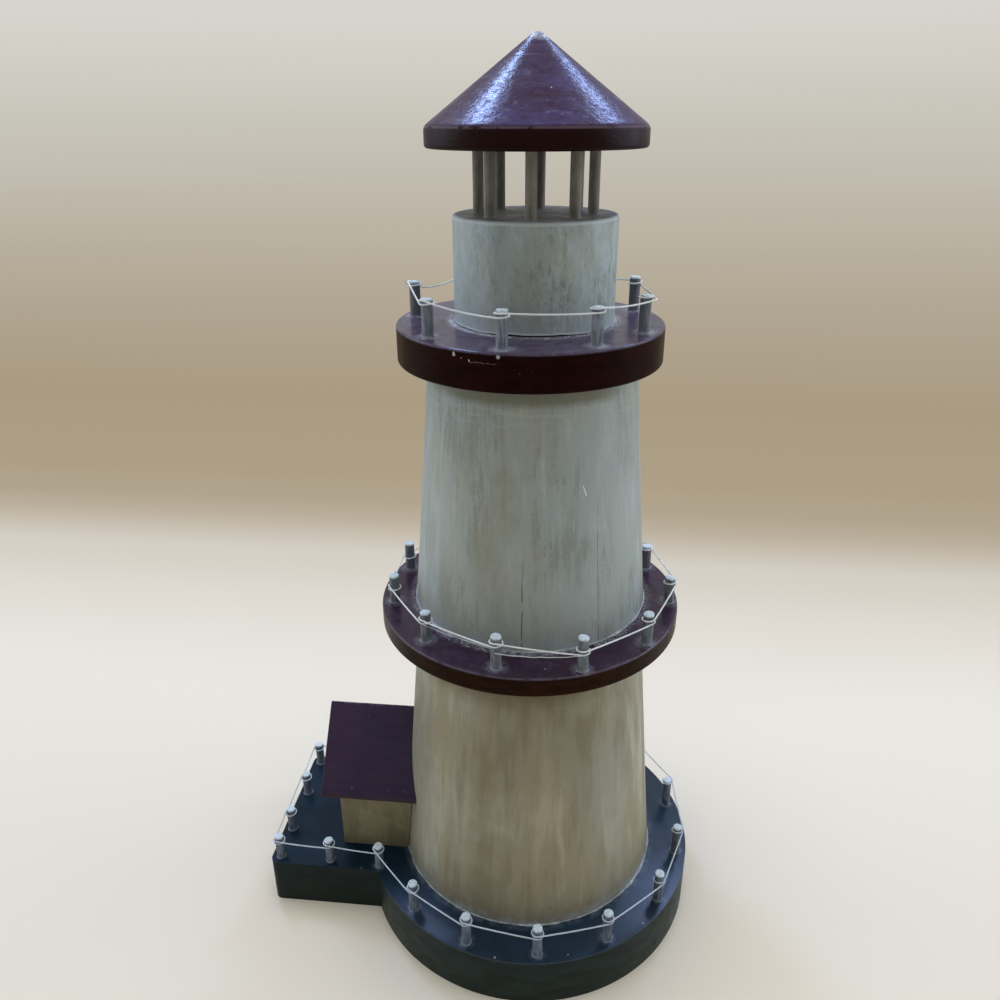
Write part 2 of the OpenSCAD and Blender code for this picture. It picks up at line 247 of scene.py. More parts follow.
def dress(piece, material, nodes=(), body="root"):
    """Gives a new piece its material and its body, and hides the nodes that it stands for."""
    piece.data.materials.clear()
    piece.data.materials.append(material)
    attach(piece, body)
    if nodes:
        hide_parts(*nodes)
    return piece


def paint_node(node, material):
    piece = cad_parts[node]
    while len(piece.material_slots) > 1:
        only(piece)
        bpy.ops.object.material_slot_remove()
    if not piece.material_slots:
        piece.data.materials.append(material)
    piece.material_slots[0].material = material


def mesh_piece(name, points, faces):
    mesh = bpy.data.meshes.new(name)
    mesh.from_pydata([tuple(p) for p in points], [], faces)
    mesh.validate()
    mesh.update()
    piece = bpy.data.objects.new(name, mesh)
    bpy.context.scene.collection.objects.link(piece)
    return piece


def store(piece, name, values):
    """Keeps one number for each vertex in an attribute that a material reads."""
    attribute = piece.data.attributes.new(name, "FLOAT", "POINT")
    attribute.data.foreach_set("value", values)


# Materials

class Tree:
    """Adds nodes to a material or to a group, in columns from left to right."""

    def __init__(self, tree):
        self.tree = tree
        self.count = 0

    def add(self, kind, inputs=None, **settings):
        made = self.tree.nodes.new(kind)
        made.location = (220 * (self.count // 4), -260 * (self.count % 4))
        self.count += 1
        for name, value in settings.items():
            setattr(made, name, value)
        for key, value in (inputs or {}).items():
            self.feed(made.inputs[key], value)
        return made

    def feed(self, socket, value):
        if isinstance(value, bpy.types.NodeSocket):
            self.tree.links.new(value, socket)
        elif socket.type == "RGBA":
            socket.default_value = (*value[:3], 1)
        else:
            socket.default_value = value

    def group(self, name, **inputs):
        made = self.add("ShaderNodeGroup", node_tree=bpy.data.node_groups[name])
        for key, value in inputs.items():
            self.feed(made.inputs[key.replace("_", " ")], value)
        return made.outputs

    def math(self, operation, a, b=0.0, clamp=False):
        return self.add("ShaderNodeMath", {0: a, 1: b}, operation=operation, use_clamp=clamp).outputs[0]

    def times(self, *values):
        """The product of all the values."""
        total = values[0]
        for value in values[1:]:
            total = self.math("MULTIPLY", total, value)
        return total

    def plus(self, a, b, clamp=False):
        return self.math("ADD", a, b, clamp)

    def minus(self, a, b, clamp=False):
        return self.math("SUBTRACT", a, b, clamp)

    def vector(self, operation, a, b=(0, 0, 0)):
        made = self.add("ShaderNodeVectorMath", {0: a, 1: b}, operation=operation)
        return made.outputs["Value" if operation in ("LENGTH", "DISTANCE", "DOT_PRODUCT") else "Vector"]

    def stretched(self, vector, shares):
        return self.vector("MULTIPLY", vector, shares)

    def scaled(self, vector, factor):
        return self.add("ShaderNodeVectorMath", {0: vector, "Scale": factor}, operation="SCALE").outputs[0]

    def split(self, vector):
        return self.add("ShaderNodeSeparateXYZ", {0: vector}).outputs

    def ramp(self, value, low, high, start=0.0, end=1.0):
        """A soft step from start to end while the value goes from low to high."""
        return self.add("ShaderNodeMapRange", {0: value, 1: low, 2: high, 3: start, 4: end},
                        interpolation_type="SMOOTHSTEP").outputs[0]

    def noise(self, vector, scale, detail=3.0, roughness=0.55, distortion=0.0):
        return self.add("ShaderNodeTexNoise", {
            "Vector": vector, "Scale": scale, "Detail": detail, "Roughness": roughness,
            "Distortion": distortion}).outputs[0]

    def mix(self, factor, a, b, blend="MIX"):
        made = self.add("ShaderNodeMix", {0: factor, 6: a, 7: b}, data_type="RGBA", blend_type=blend)
        return made.outputs[2]

    def over(self, base, tint, *masks):
        """The tint laid over the base, as far as all the masks let it show."""
        return self.mix(self.times(*masks), base, tint)

    def value(self, factor, a, b):
        return self.add("ShaderNodeMix", {0: factor, 2: a, 3: b}, data_type="FLOAT").outputs[0]

    def stored(self, name):
        """The number that each vertex keeps under a name."""
        return self.add("ShaderNodeAttribute", attribute_name=name).outputs["Fac"]

    def mask(self, name, **inputs):
        return self.group(name, **inputs)["Mask"]

    def turned(self, node):
        """Places on a turned piece, and the radius of the ring that they are moved out to."""
        axis, ring = centre_of(node), radius_of(node)
        return self.group("Round the axis", Vector=self.place, Axis=(axis.x, axis.y, 0), Ring=ring), ring

    # A line along a round edge: partly rubbed paint, partly painted highlight
    def rim_wear_and_highlight(self, turned, radius, height, width, cover):
        return self.mask("Rim wear", Vector=turned["Around"], Radius=turned["Radius"],
                         Height=turned["Height"], Edge_radius=radius, Edge_height=height, Width=width,
                         Cover=cover)

    def any_of(self, masks):
        total = masks[0]
        for mask in masks[1:]:
            total = self.math("MAXIMUM", total, mask)
        return total


def new_group(name, inputs, outputs):
    """An empty node group with named sockets; returns its tree, its inputs and a way to set its outputs."""
    tree = bpy.data.node_groups.new(name, "ShaderNodeTree")
    kinds = {"f": "NodeSocketFloat", "v": "NodeSocketVector", "c": "NodeSocketColor"}
    for label, (kind, default) in inputs.items():
        socket = tree.interface.new_socket(name=label, in_out="INPUT", socket_type=kinds[kind])
        socket.default_value = (*default, 1) if kind == "c" else default
    for label, kind in outputs.items():
        tree.interface.new_socket(name=label, in_out="OUTPUT", socket_type=kinds[kind])
    t = Tree(tree)
    return t, t.add("NodeGroupInput").outputs, t.add("NodeGroupOutput").inputs


ZERO = (0.0, 0.0, 0.0)
GREY = (0.5, 0.5, 0.5)


def group_round_the_axis():
    """Places on a turned piece: the point moved out to one ring, its radius and its height."""
    t, given, out = new_group("Round the axis", {
        "Vector": ("v", ZERO), "Axis": ("v", ZERO), "Ring": ("f", 1.0),
    }, {"Around": "v", "Radius": "f", "Height": "f"})
    place = t.vector("SUBTRACT", given["Vector"], given["Axis"])
    x, y, z = t.split(place)
    flat = t.add("ShaderNodeCombineXYZ", {0: x, 1: y}).outputs[0]
    ring = t.split(t.scaled(t.vector("NORMALIZE", flat), given["Ring"]))
    t.feed(out["Around"], t.add("ShaderNodeCombineXYZ", {0: ring[0], 1: ring[1], 2: z}).outputs[0])
    t.feed(out["Radius"], t.vector("LENGTH", flat))
    t.feed(out["Height"], z)


def group_brushed_wash():
    """Thin paint brushed along Z in short soft strokes over cloudy patches: its colour, relief and tone."""
    t, given, out = new_group("Brushed wash", {
        "Vector": ("v", ZERO), "Pale": ("c", GREY), "Ground": ("c", GREY), "Deep": ("c", GREY),
        "Strokes": ("f", 600.0), "Patches": ("f", 40.0), "Stretch": ("f", 0.3), "Fine": ("f", 0.25),
        "Contrast": ("f", 1.0),
    }, {"Color": "c", "Height": "f", "Tone": "f"})
    x, y, z = t.split(given["Vector"])

    def drawn(share):
        height = t.times(z, t.times(given["Stretch"], share))
        return t.add("ShaderNodeCombineXYZ", {0: x, 1: y, 2: height}).outputs[0]

    def weighed(value, weight):
        return t.times(t.minus(value, 0.5), weight)

    strokes = t.noise(drawn(1.0), given["Strokes"], 3, 0.5, 0.1)
    fine = t.noise(drawn(0.6), t.times(given["Strokes"], 2.3), 2, 0.6)
    broad = t.noise(drawn(1.8), t.times(given["Strokes"], 0.3), 3, 0.55, 0.3)
    patch = t.noise(t.stretched(given["Vector"], (1, 1, 0.55)), given["Patches"], 4, 0.6, 0.5)
    grit = t.noise(t.stretched(given["Vector"], (1, 1, 0.8)), 1150, 3, 0.6)
    lines = t.plus(weighed(strokes, t.plus(given["Fine"], 0.08)), weighed(fine, given["Fine"]))
    lines = t.plus(lines, weighed(grit, given["Fine"]))
    clear = t.ramp(t.noise(t.stretched(given["Vector"], (1, 1, 0.3)), 95, 2), 0.38, 0.62, 0.4, 1.5)
    sums = t.plus(t.times(lines, clear), t.plus(weighed(broad, 0.4), weighed(patch, 0.42)))
    tone = t.plus(t.times(sums, given["Contrast"]), 0.5)
    low = t.mix(t.ramp(tone, 0.36, 0.5), given["Deep"], given["Ground"])
    both = t.mix(t.ramp(tone, 0.5, 0.66), low, given["Pale"])
    hair = t.noise(drawn(0.3), t.times(given["Strokes"], 1.5), 2, 0.5)
    shown = t.times(given["Fine"], 1.4, clear)
    light = t.over(both, given["Pale"], t.ramp(hair, 0.62, 0.76), shown)
    dark = t.over(light, given["Deep"], t.ramp(hair, 0.38, 0.24), shown)
    hue = t.noise(drawn(2.5), t.times(given["Strokes"], 0.1), 3, 0.5, 0.4)
    warm = t.mix(t.ramp(hue, 0.5, 0.68, 0.0, 0.9), dark, (1.03, 1.0, 0.9), "MULTIPLY")
    cool = t.mix(t.ramp(hue, 0.5, 0.32, 0.0, 0.9), warm, (0.96, 1.0, 1.05), "MULTIPLY")
    t.feed(out["Color"], cool)
    t.feed(out["Height"], t.plus(fine, t.times(strokes, 0.8)))
    t.feed(out["Tone"], tone)


def group_rim():
    """How close a point of a turned piece lies to a round edge, broken up in patches: rubbed paint, and on
    some edges a painted highlight.
    """
    t, given, out = new_group("Rim wear", {
        "Vector": ("v", ZERO), "Radius": ("f", 0.0), "Height": ("f", 0.0), "Edge radius": ("f", 0.0),
        "Edge height": ("f", 0.0), "Width": ("f", 0.0005), "Cover": ("f", 0.5)}, {"Mask": "f"})
    across = t.minus(given["Radius"], given["Edge radius"])
    along = t.minus(given["Height"], given["Edge height"])
    away = t.vector("LENGTH", t.add("ShaderNodeCombineXYZ", {0: across, 1: along}).outputs[0])
    near = t.minus(1.0, t.math("DIVIDE", away, given["Width"]), clamp=True)
    broken = t.noise(given["Vector"], 160, 6, 0.7)
    level = t.minus(1.0, given["Cover"])
    wear_and_highlight = t.ramp(broken, level, t.plus(level, 0.12))
    t.feed(out["Mask"], t.times(t.ramp(near, 0.1, 0.7), wear_and_highlight))


def group_specks():
    """Small round specks: how large they are, and which share of the places has one."""
    t, given, out = new_group("Specks", {
        "Vector": ("v", ZERO), "Scale": ("f", 500.0), "Size": ("f", 0.2), "Share": ("f", 0.2),
    }, {"Mask": "f"})
    cell = t.add("ShaderNodeTexVoronoi", {"Vector": given["Vector"], "Scale": given["Scale"]})
    shape = t.plus(cell.outputs["Distance"], t.times(t.noise(given["Vector"], 2600, 2), 0.25))
    dot = t.ramp(shape, t.plus(given["Size"], 0.2), given["Size"])
    chance = t.split(cell.outputs["Color"])[0]
    t.feed(out["Mask"], t.times(dot, t.math("LESS_THAN", chance, given["Share"])))


def group_film():
    """A thin film of dust or paint that covers part of a surface in patches."""
    t, given, out = new_group("Film", {
        "Vector": ("v", ZERO), "Scale": ("f", 120.0), "Cover": ("f", 0.5), "Softness": ("f", 0.15),
    }, {"Mask": "f"})
    cloud = t.noise(given["Vector"], given["Scale"], 6, 0.65, 0.3)
    level = t.minus(0.85, t.times(given["Cover"], 0.7))
    t.feed(out["Mask"], t.ramp(cloud, t.minus(level, given["Softness"]),
                               t.plus(level, given["Softness"])))


def group_seam():
    """A thin upright line on a turned piece, at one direction and between two heights."""
    t, given, out = new_group("Seam", {
        "Vector": ("v", ZERO), "Side": ("v", (0.0, 1.0, 0.0)), "Front": ("v", (1.0, 0.0, 0.0)),
        "Half width": ("f", 0.00012), "Low": ("f", 0.0), "High": ("f", 0.0)}, {"Mask": "f"})
    wobble = t.times(t.minus(t.noise(given["Vector"], 90, 2), 0.5), 0.8 * MM)
    away = t.math("ABSOLUTE", t.plus(t.vector("DOT_PRODUCT", given["Vector"], given["Side"]), wobble))
    line = t.ramp(away, t.times(given["Half width"], 2), given["Half width"])
    height = t.split(given["Vector"])[2]
    above = t.ramp(height, given["Low"], t.plus(given["Low"], 2 * MM))
    below = t.ramp(height, given["High"], t.minus(given["High"], 12 * MM))
    ahead = t.math("GREATER_THAN", t.vector("DOT_PRODUCT", given["Vector"], given["Front"]), 0.0)
    broken = t.ramp(t.noise(t.stretched(given["Vector"], (1, 1, 0.3)), 700, 3), 0.32, 0.5)
    t.feed(out["Mask"], t.times(line, above, below, ahead, broken))


GROUPS = (group_round_the_axis, group_brushed_wash, group_rim, group_specks, group_film, group_seam)


def new_material(name, roughness=0.5, specular=0.5, coat=0.0, coat_roughness=0.1):
    """A material with its Principled shader; the uniform numbers stand on the shader's own sockets."""
    if not bpy.data.node_groups.get("Film"):
        for make in GROUPS:
            make()
    material = bpy.data.materials.new(name)
    material.use_nodes = True
    t = Tree(material.node_tree)
    t.tree.nodes.clear()
    t.shader = t.add("ShaderNodeBsdfPrincipled", {
        "Roughness": roughness, "Specular IOR Level": specular, "Coat Weight": coat,
        "Coat Roughness": coat_roughness})
    end = t.add("ShaderNodeOutputMaterial", {"Surface": t.shader.outputs[0]})
    t.shader.location, end.location = (3600, 0), (3900, 0)
    t.place = t.add("ShaderNodeTexCoord").outputs["Object"]
    return material, t


def finish(t, base, height=None, relief=0.0, roughness=None, coat=None):
    """Links the colour, the relief in metres, the roughness and the coat to the shader."""
    t.feed(t.shader.inputs["Base Color"], base)
    if height is not None:
        bump = t.add("ShaderNodeBump", {"Strength": 1.0, "Distance": relief, "Height": height})
        t.feed(t.shader.inputs["Normal"], bump.outputs[0])
        if coat is not None:
            t.feed(t.shader.inputs["Coat Normal"], bump.outputs[0])
    if coat is not None:
        t.feed(t.shader.inputs["Coat Weight"], coat)
    if roughness is not None:
        t.feed(t.shader.inputs["Roughness"], roughness)


def marks(t, spots, wobble=0.35):
    """A mask of small marks: each spot is its place in metres and its radius."""
    bent = t.add("ShaderNodeTexNoise", {"Vector": t.place, "Scale": 1100, "Detail": 3})
    shift = t.scaled(t.vector("SUBTRACT", bent.outputs["Color"], (0.5, 0.5, 0.5)), wobble * 2 * MM)
    place = t.vector("ADD", t.place, shift)
    return t.any_of([t.ramp(t.vector("DISTANCE", place, at), r, r * 0.6) for at, r in spots])


def near_posts(t, nodes, level, reach):
    """A soft mask round the foot of each post that stands on a board."""
    masks = []
    for node in nodes:
        at = centre_of(node)
        masks.append(t.ramp(t.vector("DISTANCE", t.place, (at.x, at.y, level)), reach, 1.6 * MM))
    return t.any_of(masks)


def from_foot(t, node, level):
    """How far a point on a board lies from the side of the block that stands there."""
    foot = centre_of(node)
    return t.minus(t.vector("DISTANCE", t.place, (foot.x, foot.y, level)), radius_of(node))


def on_side(node, degrees, radius, z):
    """A point on the side of a turned piece, from its own axis."""
    at, a = centre_of(node), math.radians(degrees)
    return (at.x + radius * math.cos(a), at.y + radius * math.sin(a), z)


def facing(t, turned, ring, degrees, wide, narrow):
    """A soft mask of the part of a turned piece that faces one direction, between two half angles."""
    a = math.radians(degrees)
    share = t.vector("DOT_PRODUCT", turned["Around"], (math.cos(a) / ring, math.sin(a) / ring, 0))
    return t.ramp(share, math.cos(math.radians(wide)), math.cos(math.radians(narrow)))


def tower_material(name, node, pale, ground, deep, foot, stains_and_painted_light, seams=(), chips=(), foot_dirt=0.6,
                   foot_reach=18 * MM, top_shade=0.0, top_reach=6 * MM, top_soft=0.5, top_side=-90,
                   band=0.0, stretch=0.12, fine=0.25, contrast=1.1):
    """Thin wash brushed up and down a turned block, dirtier at its foot, with painted shade under the board
    above it.
    """
    material, t = new_material(name, roughness=0.6, specular=0.3)
    low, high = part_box(node)
    turned, ring = t.turned(node)
    around, height = turned["Around"], turned["Height"]
    wash = t.group("Brushed wash", Vector=around, Pale=pale, Ground=ground, Deep=deep,
                   Strokes=560.0, Patches=42.0, Stretch=stretch, Fine=fine, Contrast=contrast)
    base = wash["Color"]
    squeeze = 0.4
    squeezed = t.stretched(t.place, (1, 1, squeeze))
    cloud = t.noise(around, 210, 5, 0.65, 0.4)
    # Stains, and patches of painted light and painted shade, laid over the wash
    for (x, y, z), reach, strength, tint in stains_and_painted_light:
        spot = t.ramp(t.vector("DISTANCE", squeezed, (x, y, z * squeeze)), reach, reach * 0.15)
        base = t.over(base, tint, spot, strength, t.ramp(cloud, 0.3, 0.6, 0.5, 1.0))
    rise = t.minus(t.plus(height, t.times(cloud, 18 * MM)), low.z + 9 * MM)
    base = t.over(base, foot, t.ramp(rise, foot_reach, MM), foot_dirt)
    # Painted shade: a darker band just under the board above, on its front side, standing for the board's
    # shadow
    if top_shade:
        across = t.noise(t.stretched(around, (0.12, 0.12, 1)), 700, 4, 0.6, 0.3)
        uneven = t.times(t.plus(cloud, across), top_reach / 4)
        below = t.minus(high.z + 0.25 * top_reach, t.plus(height, uneven))
        base = t.over(base, toned(deep, (0.66, 0.62, 0.5)),
                      t.ramp(below, top_reach, top_reach * (1 - top_soft)), top_shade,
                      facing(t, turned, ring, top_side, 65, 35))
        base = t.over(base, pale, t.ramp(below, top_reach * 2.2, top_reach * 1.1),
                      t.ramp(below, top_reach * 0.8, top_reach), t.ramp(across, 0.5, 0.66), band)
    blotch = t.mask("Film", Vector=around, Scale=300.0, Cover=0.32, Softness=0.07)
    near = t.times(t.ramp(rise, 14 * MM, 2 * MM), min(1, foot_dirt + 0.2))
    base = t.over(base, toned(foot, 0.55), blotch, near)
    film = t.mask("Film", Vector=around, Scale=190.0, Cover=0.5, Softness=0.14)
    edge = t.ramp(height, low.z + 5 * MM, low.z + 0.5 * MM)
    base = t.over(base, (0.38, 0.44, 0.49), film, edge, 0.6)
    relief = wash["Height"]
    for degrees, bottom, top, depth in seams:
        a = math.radians(degrees)
        line = t.mask("Seam", Vector=t.place, Side=(-math.sin(a), math.cos(a), 0),
                      Front=(math.cos(a), math.sin(a), 0), Low=bottom, High=top)
        base = t.over(base, (0.05, 0.045, 0.03), line, depth)
        relief = t.minus(relief, t.times(line, depth))
    if chips:
        chip = marks(t, chips, 0.12)
        base = t.over(base, (0.85, 0.87, 0.82), chip)
        relief = t.plus(relief, chip)
    specks = t.mask("Specks", Vector=t.place, Scale=330.0, Size=0.1, Share=0.06)
    base = t.over(base, toned(deep, 0.5), specks, 0.35)
    if node == "lantern_drum":
        base = drum_top_and_foot(t, base, turned, ring, low, high, cloud)
    finish(t, base, relief, 0.06 * MM, t.ramp(wash["Tone"], 0.35, 0.65, 0.7, 0.5))
    return material


def drum_top_and_foot(t, base, turned, ring, low, high, cloud):
    """The drum's top, a darker mottled grey with two dark spots and a pale line round its edge that is
    partly painted highlight, and at its foot the painted shadow of the gap, with a pale line over it.
    """
    height = turned["Height"]
    # The top is painted a darker mottled grey than the sides, with two near-black spots
    flat = t.ramp(height, high.z - 0.6 * MM, high.z - 0.15 * MM)
    top_mottle = t.noise(t.place, 190, 5, 0.65)
    grey = t.mix(t.ramp(top_mottle, 0.35, 0.65), (0.14, 0.128, 0.108), (0.23, 0.222, 0.2))
    dark_spots = ((-6.2, 1.2, 1.6), (-3.4, -0.8, 1.4))
    mark = marks(t, [((x * MM, y * MM, high.z), r * MM) for x, y, r in dark_spots], 0.8)
    base = t.mix(flat, base, t.mix(mark, grey, (0.05, 0.045, 0.04)))
    # Pale line round the top edge: partly rubbed paint, partly painted highlight where the eased edge
    # catches the light
    wear_and_highlight = t.rim_wear_and_highlight(turned, ring - 0.3 * MM, high.z - 0.3 * MM, 1.1 * MM, 0.68)
    base = t.over(base, (0.52, 0.57, 0.58), wear_and_highlight, 0.7)
    # Painted shadow: a near-black band at the foot, along the arc where the drum stands off its board,
    # thicker at the front
    middle, half = sum(DRUM_GAP) / 2, (DRUM_GAP[1] - DRUM_GAP[0]) / 2
    gap_shadow_height = t.ramp(t.noise(turned["Around"], 75, 4, 0.65), 0.36, 0.62, 0.1 * MM, 0.34 * MM)
    gap_shadow_height = t.plus(gap_shadow_height, t.times(facing(t, turned, ring, -92, 36, 8), 0.42 * MM))
    above_gap_shadow = t.minus(t.minus(height, low.z), gap_shadow_height)
    along = facing(t, turned, ring, middle, half * 1.06, half * 0.92)
    base = t.over(base, (0.6, 0.66, 0.68), t.ramp(above_gap_shadow, 0.75 * MM, 0.3 * MM),
                  t.ramp(cloud, 0.3, 0.5, 0.35, 0.95), along)
    return t.over(base, (0.004, 0.003, 0.003), t.ramp(above_gap_shadow, 0.1 * MM, -0.05 * MM), along)


def board_material(name, node, top, side, painted_sheen, posts, foot, chips, dust_and_sheen_cover, wear, gloss, crusted,
                   smeared, cracks=()):
    """Brushed gloss paint on a board: its top is lighter and more violet than its sides, with a film of
    dust and painted sheen, glue round what stands on it, and a rubbed line along its rim that is partly
    painted highlight.
    """
    material, t = new_material(name, roughness=0.4, specular=0.04, coat_roughness=0.16)
    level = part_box(node)[1].z
    turned, ring = t.turned(node)
    way = t.split(t.scaled(turned["Around"], 0.3))
    swept = t.add("ShaderNodeCombineXYZ", {0: way[0], 1: way[1], 2: turned["Radius"]}).outputs[0]
    brushed = t.noise(swept, 460, 5, 0.6, 0.3)
    on_top = t.ramp(turned["Height"], level - 0.9 * MM, level - 0.2 * MM)
    around = t.noise(t.stretched(turned["Around"], (0.3, 0.3, 1)), 500, 4, 0.6)
    side_paint = t.mix(t.ramp(around, 0.38, 0.62), toned(side, 0.7), toned(side, 1.35))
    # Film of dust over the top, which also carries a painted sheen
    film = t.mask("Film", Vector=t.place, Scale=60.0, Cover=dust_and_sheen_cover, Softness=0.3)
    mottle = t.ramp(t.noise(t.place, 270, 6, 0.75, 0.3), 0.36, 0.64, 0.35, 1.12)
    film = t.times(film, mottle, t.ramp(brushed, 0.3, 0.7, 0.6, 1.15))
    top_paint = t.mix(t.math("MINIMUM", film, 1.0), top, painted_sheen)
    # The top's lighter colour and the side's darker one are lit and shaded copies of one paint
    base = t.mix(on_top, side_paint, top_paint)
    rough = t.value(t.ramp(brushed, 0.35, 0.7), 0.3, 0.42)
    smear = t.mask("Film", Vector=t.place, Scale=520.0, Cover=0.58, Softness=0.1)
    stipple = t.mask("Specks", Vector=t.place, Scale=950.0, Size=0.34, Share=0.5)
    smear = t.times(near_posts(t, numbered(posts), level, 4.8 * MM), t.any_of([smear, stipple]), on_top)
    base = t.over(base, (0.39, 0.4, 0.48), smear, smeared)
    rough = t.plus(rough, t.times(smear, 0.25), clamp=True)
    height = t.plus(brushed, smear)
    apart = from_foot(t, foot, level)
    close = t.times(t.ramp(apart, 3.4 * MM, 0.8 * MM), on_top)
    grains = t.mask("Specks", Vector=t.place, Scale=900.0, Size=0.4, Share=0.68)
    dusty = t.mask("Film", Vector=t.place, Scale=380.0, Cover=0.5, Softness=0.12)
    crust = t.times(close, t.math("MAXIMUM", grains, t.times(dusty, 0.55)))
    more = t.times(t.ramp(apart, 2.6 * MM, 1.2 * MM), facing(t, turned, ring, -138, 50, 30), on_top,
                   t.ramp(dusty, 0.1, 0.9, 0.4, 0.9))
    crust = t.times(crust, t.value(facing(t, turned, ring, -100, 75, 40), crusted, 1.0))
    crust = t.math("MAXIMUM", crust, t.times(more, crusted))
    base = t.over(base, (0.56, 0.59, 0.65), crust, 0.25 + 0.7 * crusted)
    rough = t.plus(rough, t.times(crust, 0.3), clamp=True)
    height = t.plus(height, crust)
    # Rubbed line along the top edge, partly painted highlight where the eased edge catches the light
    wear_and_highlight = t.rim_wear_and_highlight(turned, ring - 0.2 * MM, level - 0.2 * MM, 0.5 * MM, wear)
    base = t.over(base, (0.13, 0.1, 0.12), wear_and_highlight, 0.4)
    chip = marks(t, chips, 0.55)
    base = t.over(base, (0.5, 0.48, 0.47), chip, 0.85)
    height = t.minus(height, t.times(chip, 2))
    for degrees, half, at in cracks:
        wander = t.times(t.minus(t.noise(t.place, 260, 3, 0.6), 0.5), 2.4 * MM)
        away = t.math("ABSOLUTE", t.minus(t.plus(turned["Height"], wander), at))
        base = t.over(base, (0.4, 0.3, 0.28), t.ramp(away, 0.16 * MM, 0.07 * MM),
                      facing(t, turned, ring, degrees, half, half * 0.8),
                      t.ramp(t.noise(t.place, 900, 2), 0.36, 0.5), 0.3)
    dust = t.mask("Specks", Vector=t.place, Scale=420.0, Size=0.07, Share=0.1)
    base = t.over(base, (0.3, 0.29, 0.3), dust, t.value(on_top, 0.12, 0.4))
    finish(t, base, height, 0.04 * MM, rough, t.times(on_top, gloss))
    return material


def roof_material(c, rim):
    """Gloss paint on the turned roof: fine turning rings, a violet painted reflection, a pale painted glint
    on the tip and a painted highlight along the rim.
    """
    material, t = new_material("Roof gloss", roughness=0.4, specular=0.06, coat_roughness=0.085)
    low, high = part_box("roof")
    turned, ring = t.turned("roof")
    rim_top = low.z + rim
    rings = t.noise(t.stretched(t.place, (0.1, 0.1, 1)), 1300, 4, 0.65)
    patches = t.noise(t.stretched(t.place, (0.45, 0.45, 1)), 160, 5, 0.6)
    cone = t.ramp(turned["Height"], rim_top + 0.05 * MM, rim_top + 0.65 * MM)
    # Painted reflection: the violet sheen laid over the cone in patches and rings, fullest where it faces
    # the front
    painted_sheen = t.times(t.ramp(patches, 0.38, 0.62, 0.3, 1.0), t.ramp(rings, 0.3, 0.62, 0.35, 0.95))
    front = facing(t, turned, ring, -87, 62, 42)
    paint = t.over(c.wine, c.sheen, painted_sheen, t.value(front, 0.45, 1.0))
    side = t.mix(t.ramp(patches, 0.35, 0.65), toned(c.wine_dark, 0.8), toned(c.wine_dark, 1.2))
    # Painted reflection: a violet tint on the rim's left and right flanks, from the side lights in its
    # gloss
    flanks = t.minus(1.0, facing(t, turned, ring, -92, 62, 30))
    side = t.over(side, (0.02, 0.006, 0.017), flanks, t.ramp(patches, 0.35, 0.6, 0.5, 1.0))
    # The cone's lighter violet and the rim's near-black are lit and shaded copies of one paint
    base = t.mix(cone, side, paint)
    scratch = t.ramp(t.noise(t.stretched(t.place, (0.16, 0.16, 1)), 620, 2, 0.5, 0.2), 0.64, 0.72)
    dull = t.mask("Film", Vector=t.place, Scale=260.0, Cover=0.3, Softness=0.06)
    dull = t.math("MAXIMUM", t.times(dull, 0.2), t.times(scratch, 0.22))
    base = t.over(base, (0.22, 0.22, 0.36), dull, cone)
    # Painted glint: the pale bluish tip stands for the light caught on the blunt tip
    base = t.over(base, (0.62, 0.68, 0.86), t.ramp(turned["Height"], high.z - 2.8 * MM, high.z - 0.4 * MM),
                  t.ramp(t.noise(t.place, 900, 4), 0.36, 0.56, 0.3, 1.0), 0.9)
    # Painted highlight: a pale line along the rim's top edge, where the eased edge catches the light
    wear_and_highlight = t.rim_wear_and_highlight(turned, ring - 0.35 * MM, rim_top - 0.1 * MM, 0.6 * MM, 0.62)
    base = t.over(base, (0.2, 0.16, 0.22), wear_and_highlight, 0.35)
    speck = marks(t, in_mm((5.17, -18.65, 283.35, 0.3)))
    faint = marks(t, in_mm((4.4, -22.8, 280.45, 0.35), (4.8, -26.4, 277.7, 0.6), (-3.5, -23.5, 280.0, 0.6),
                           (8.2, -26.0, 277.3, 0.5)), 0.7)
    base = t.over(base, (0.6, 0.6, 0.66), t.math("MAXIMUM", t.times(speck, 0.8), t.times(faint, 0.09)))
    pits = t.noise(t.stretched(t.place, (0.7, 0.7, 1)), 850, 4, 0.66)
    lumps = t.noise(t.stretched(t.place, (0.6, 0.6, 1)), 330, 3, 0.55)
    height = t.plus(t.plus(t.times(rings, 0.5), t.times(pits, 1.5)), t.times(lumps, 1.3))
    gloss = t.times(t.ramp(pits, 0.34, 0.6, 0.09, 0.36), t.value(front, 0.4, 1.0),
                    t.value(facing(t, turned, ring, -127, 21, 8), 1.0, 1.9))
    finish(t, base, height, 0.07 * MM, t.value(t.ramp(patches, 0.3, 0.7), 0.35, 0.5),
           t.value(cone, 0.04, gloss))
    return material


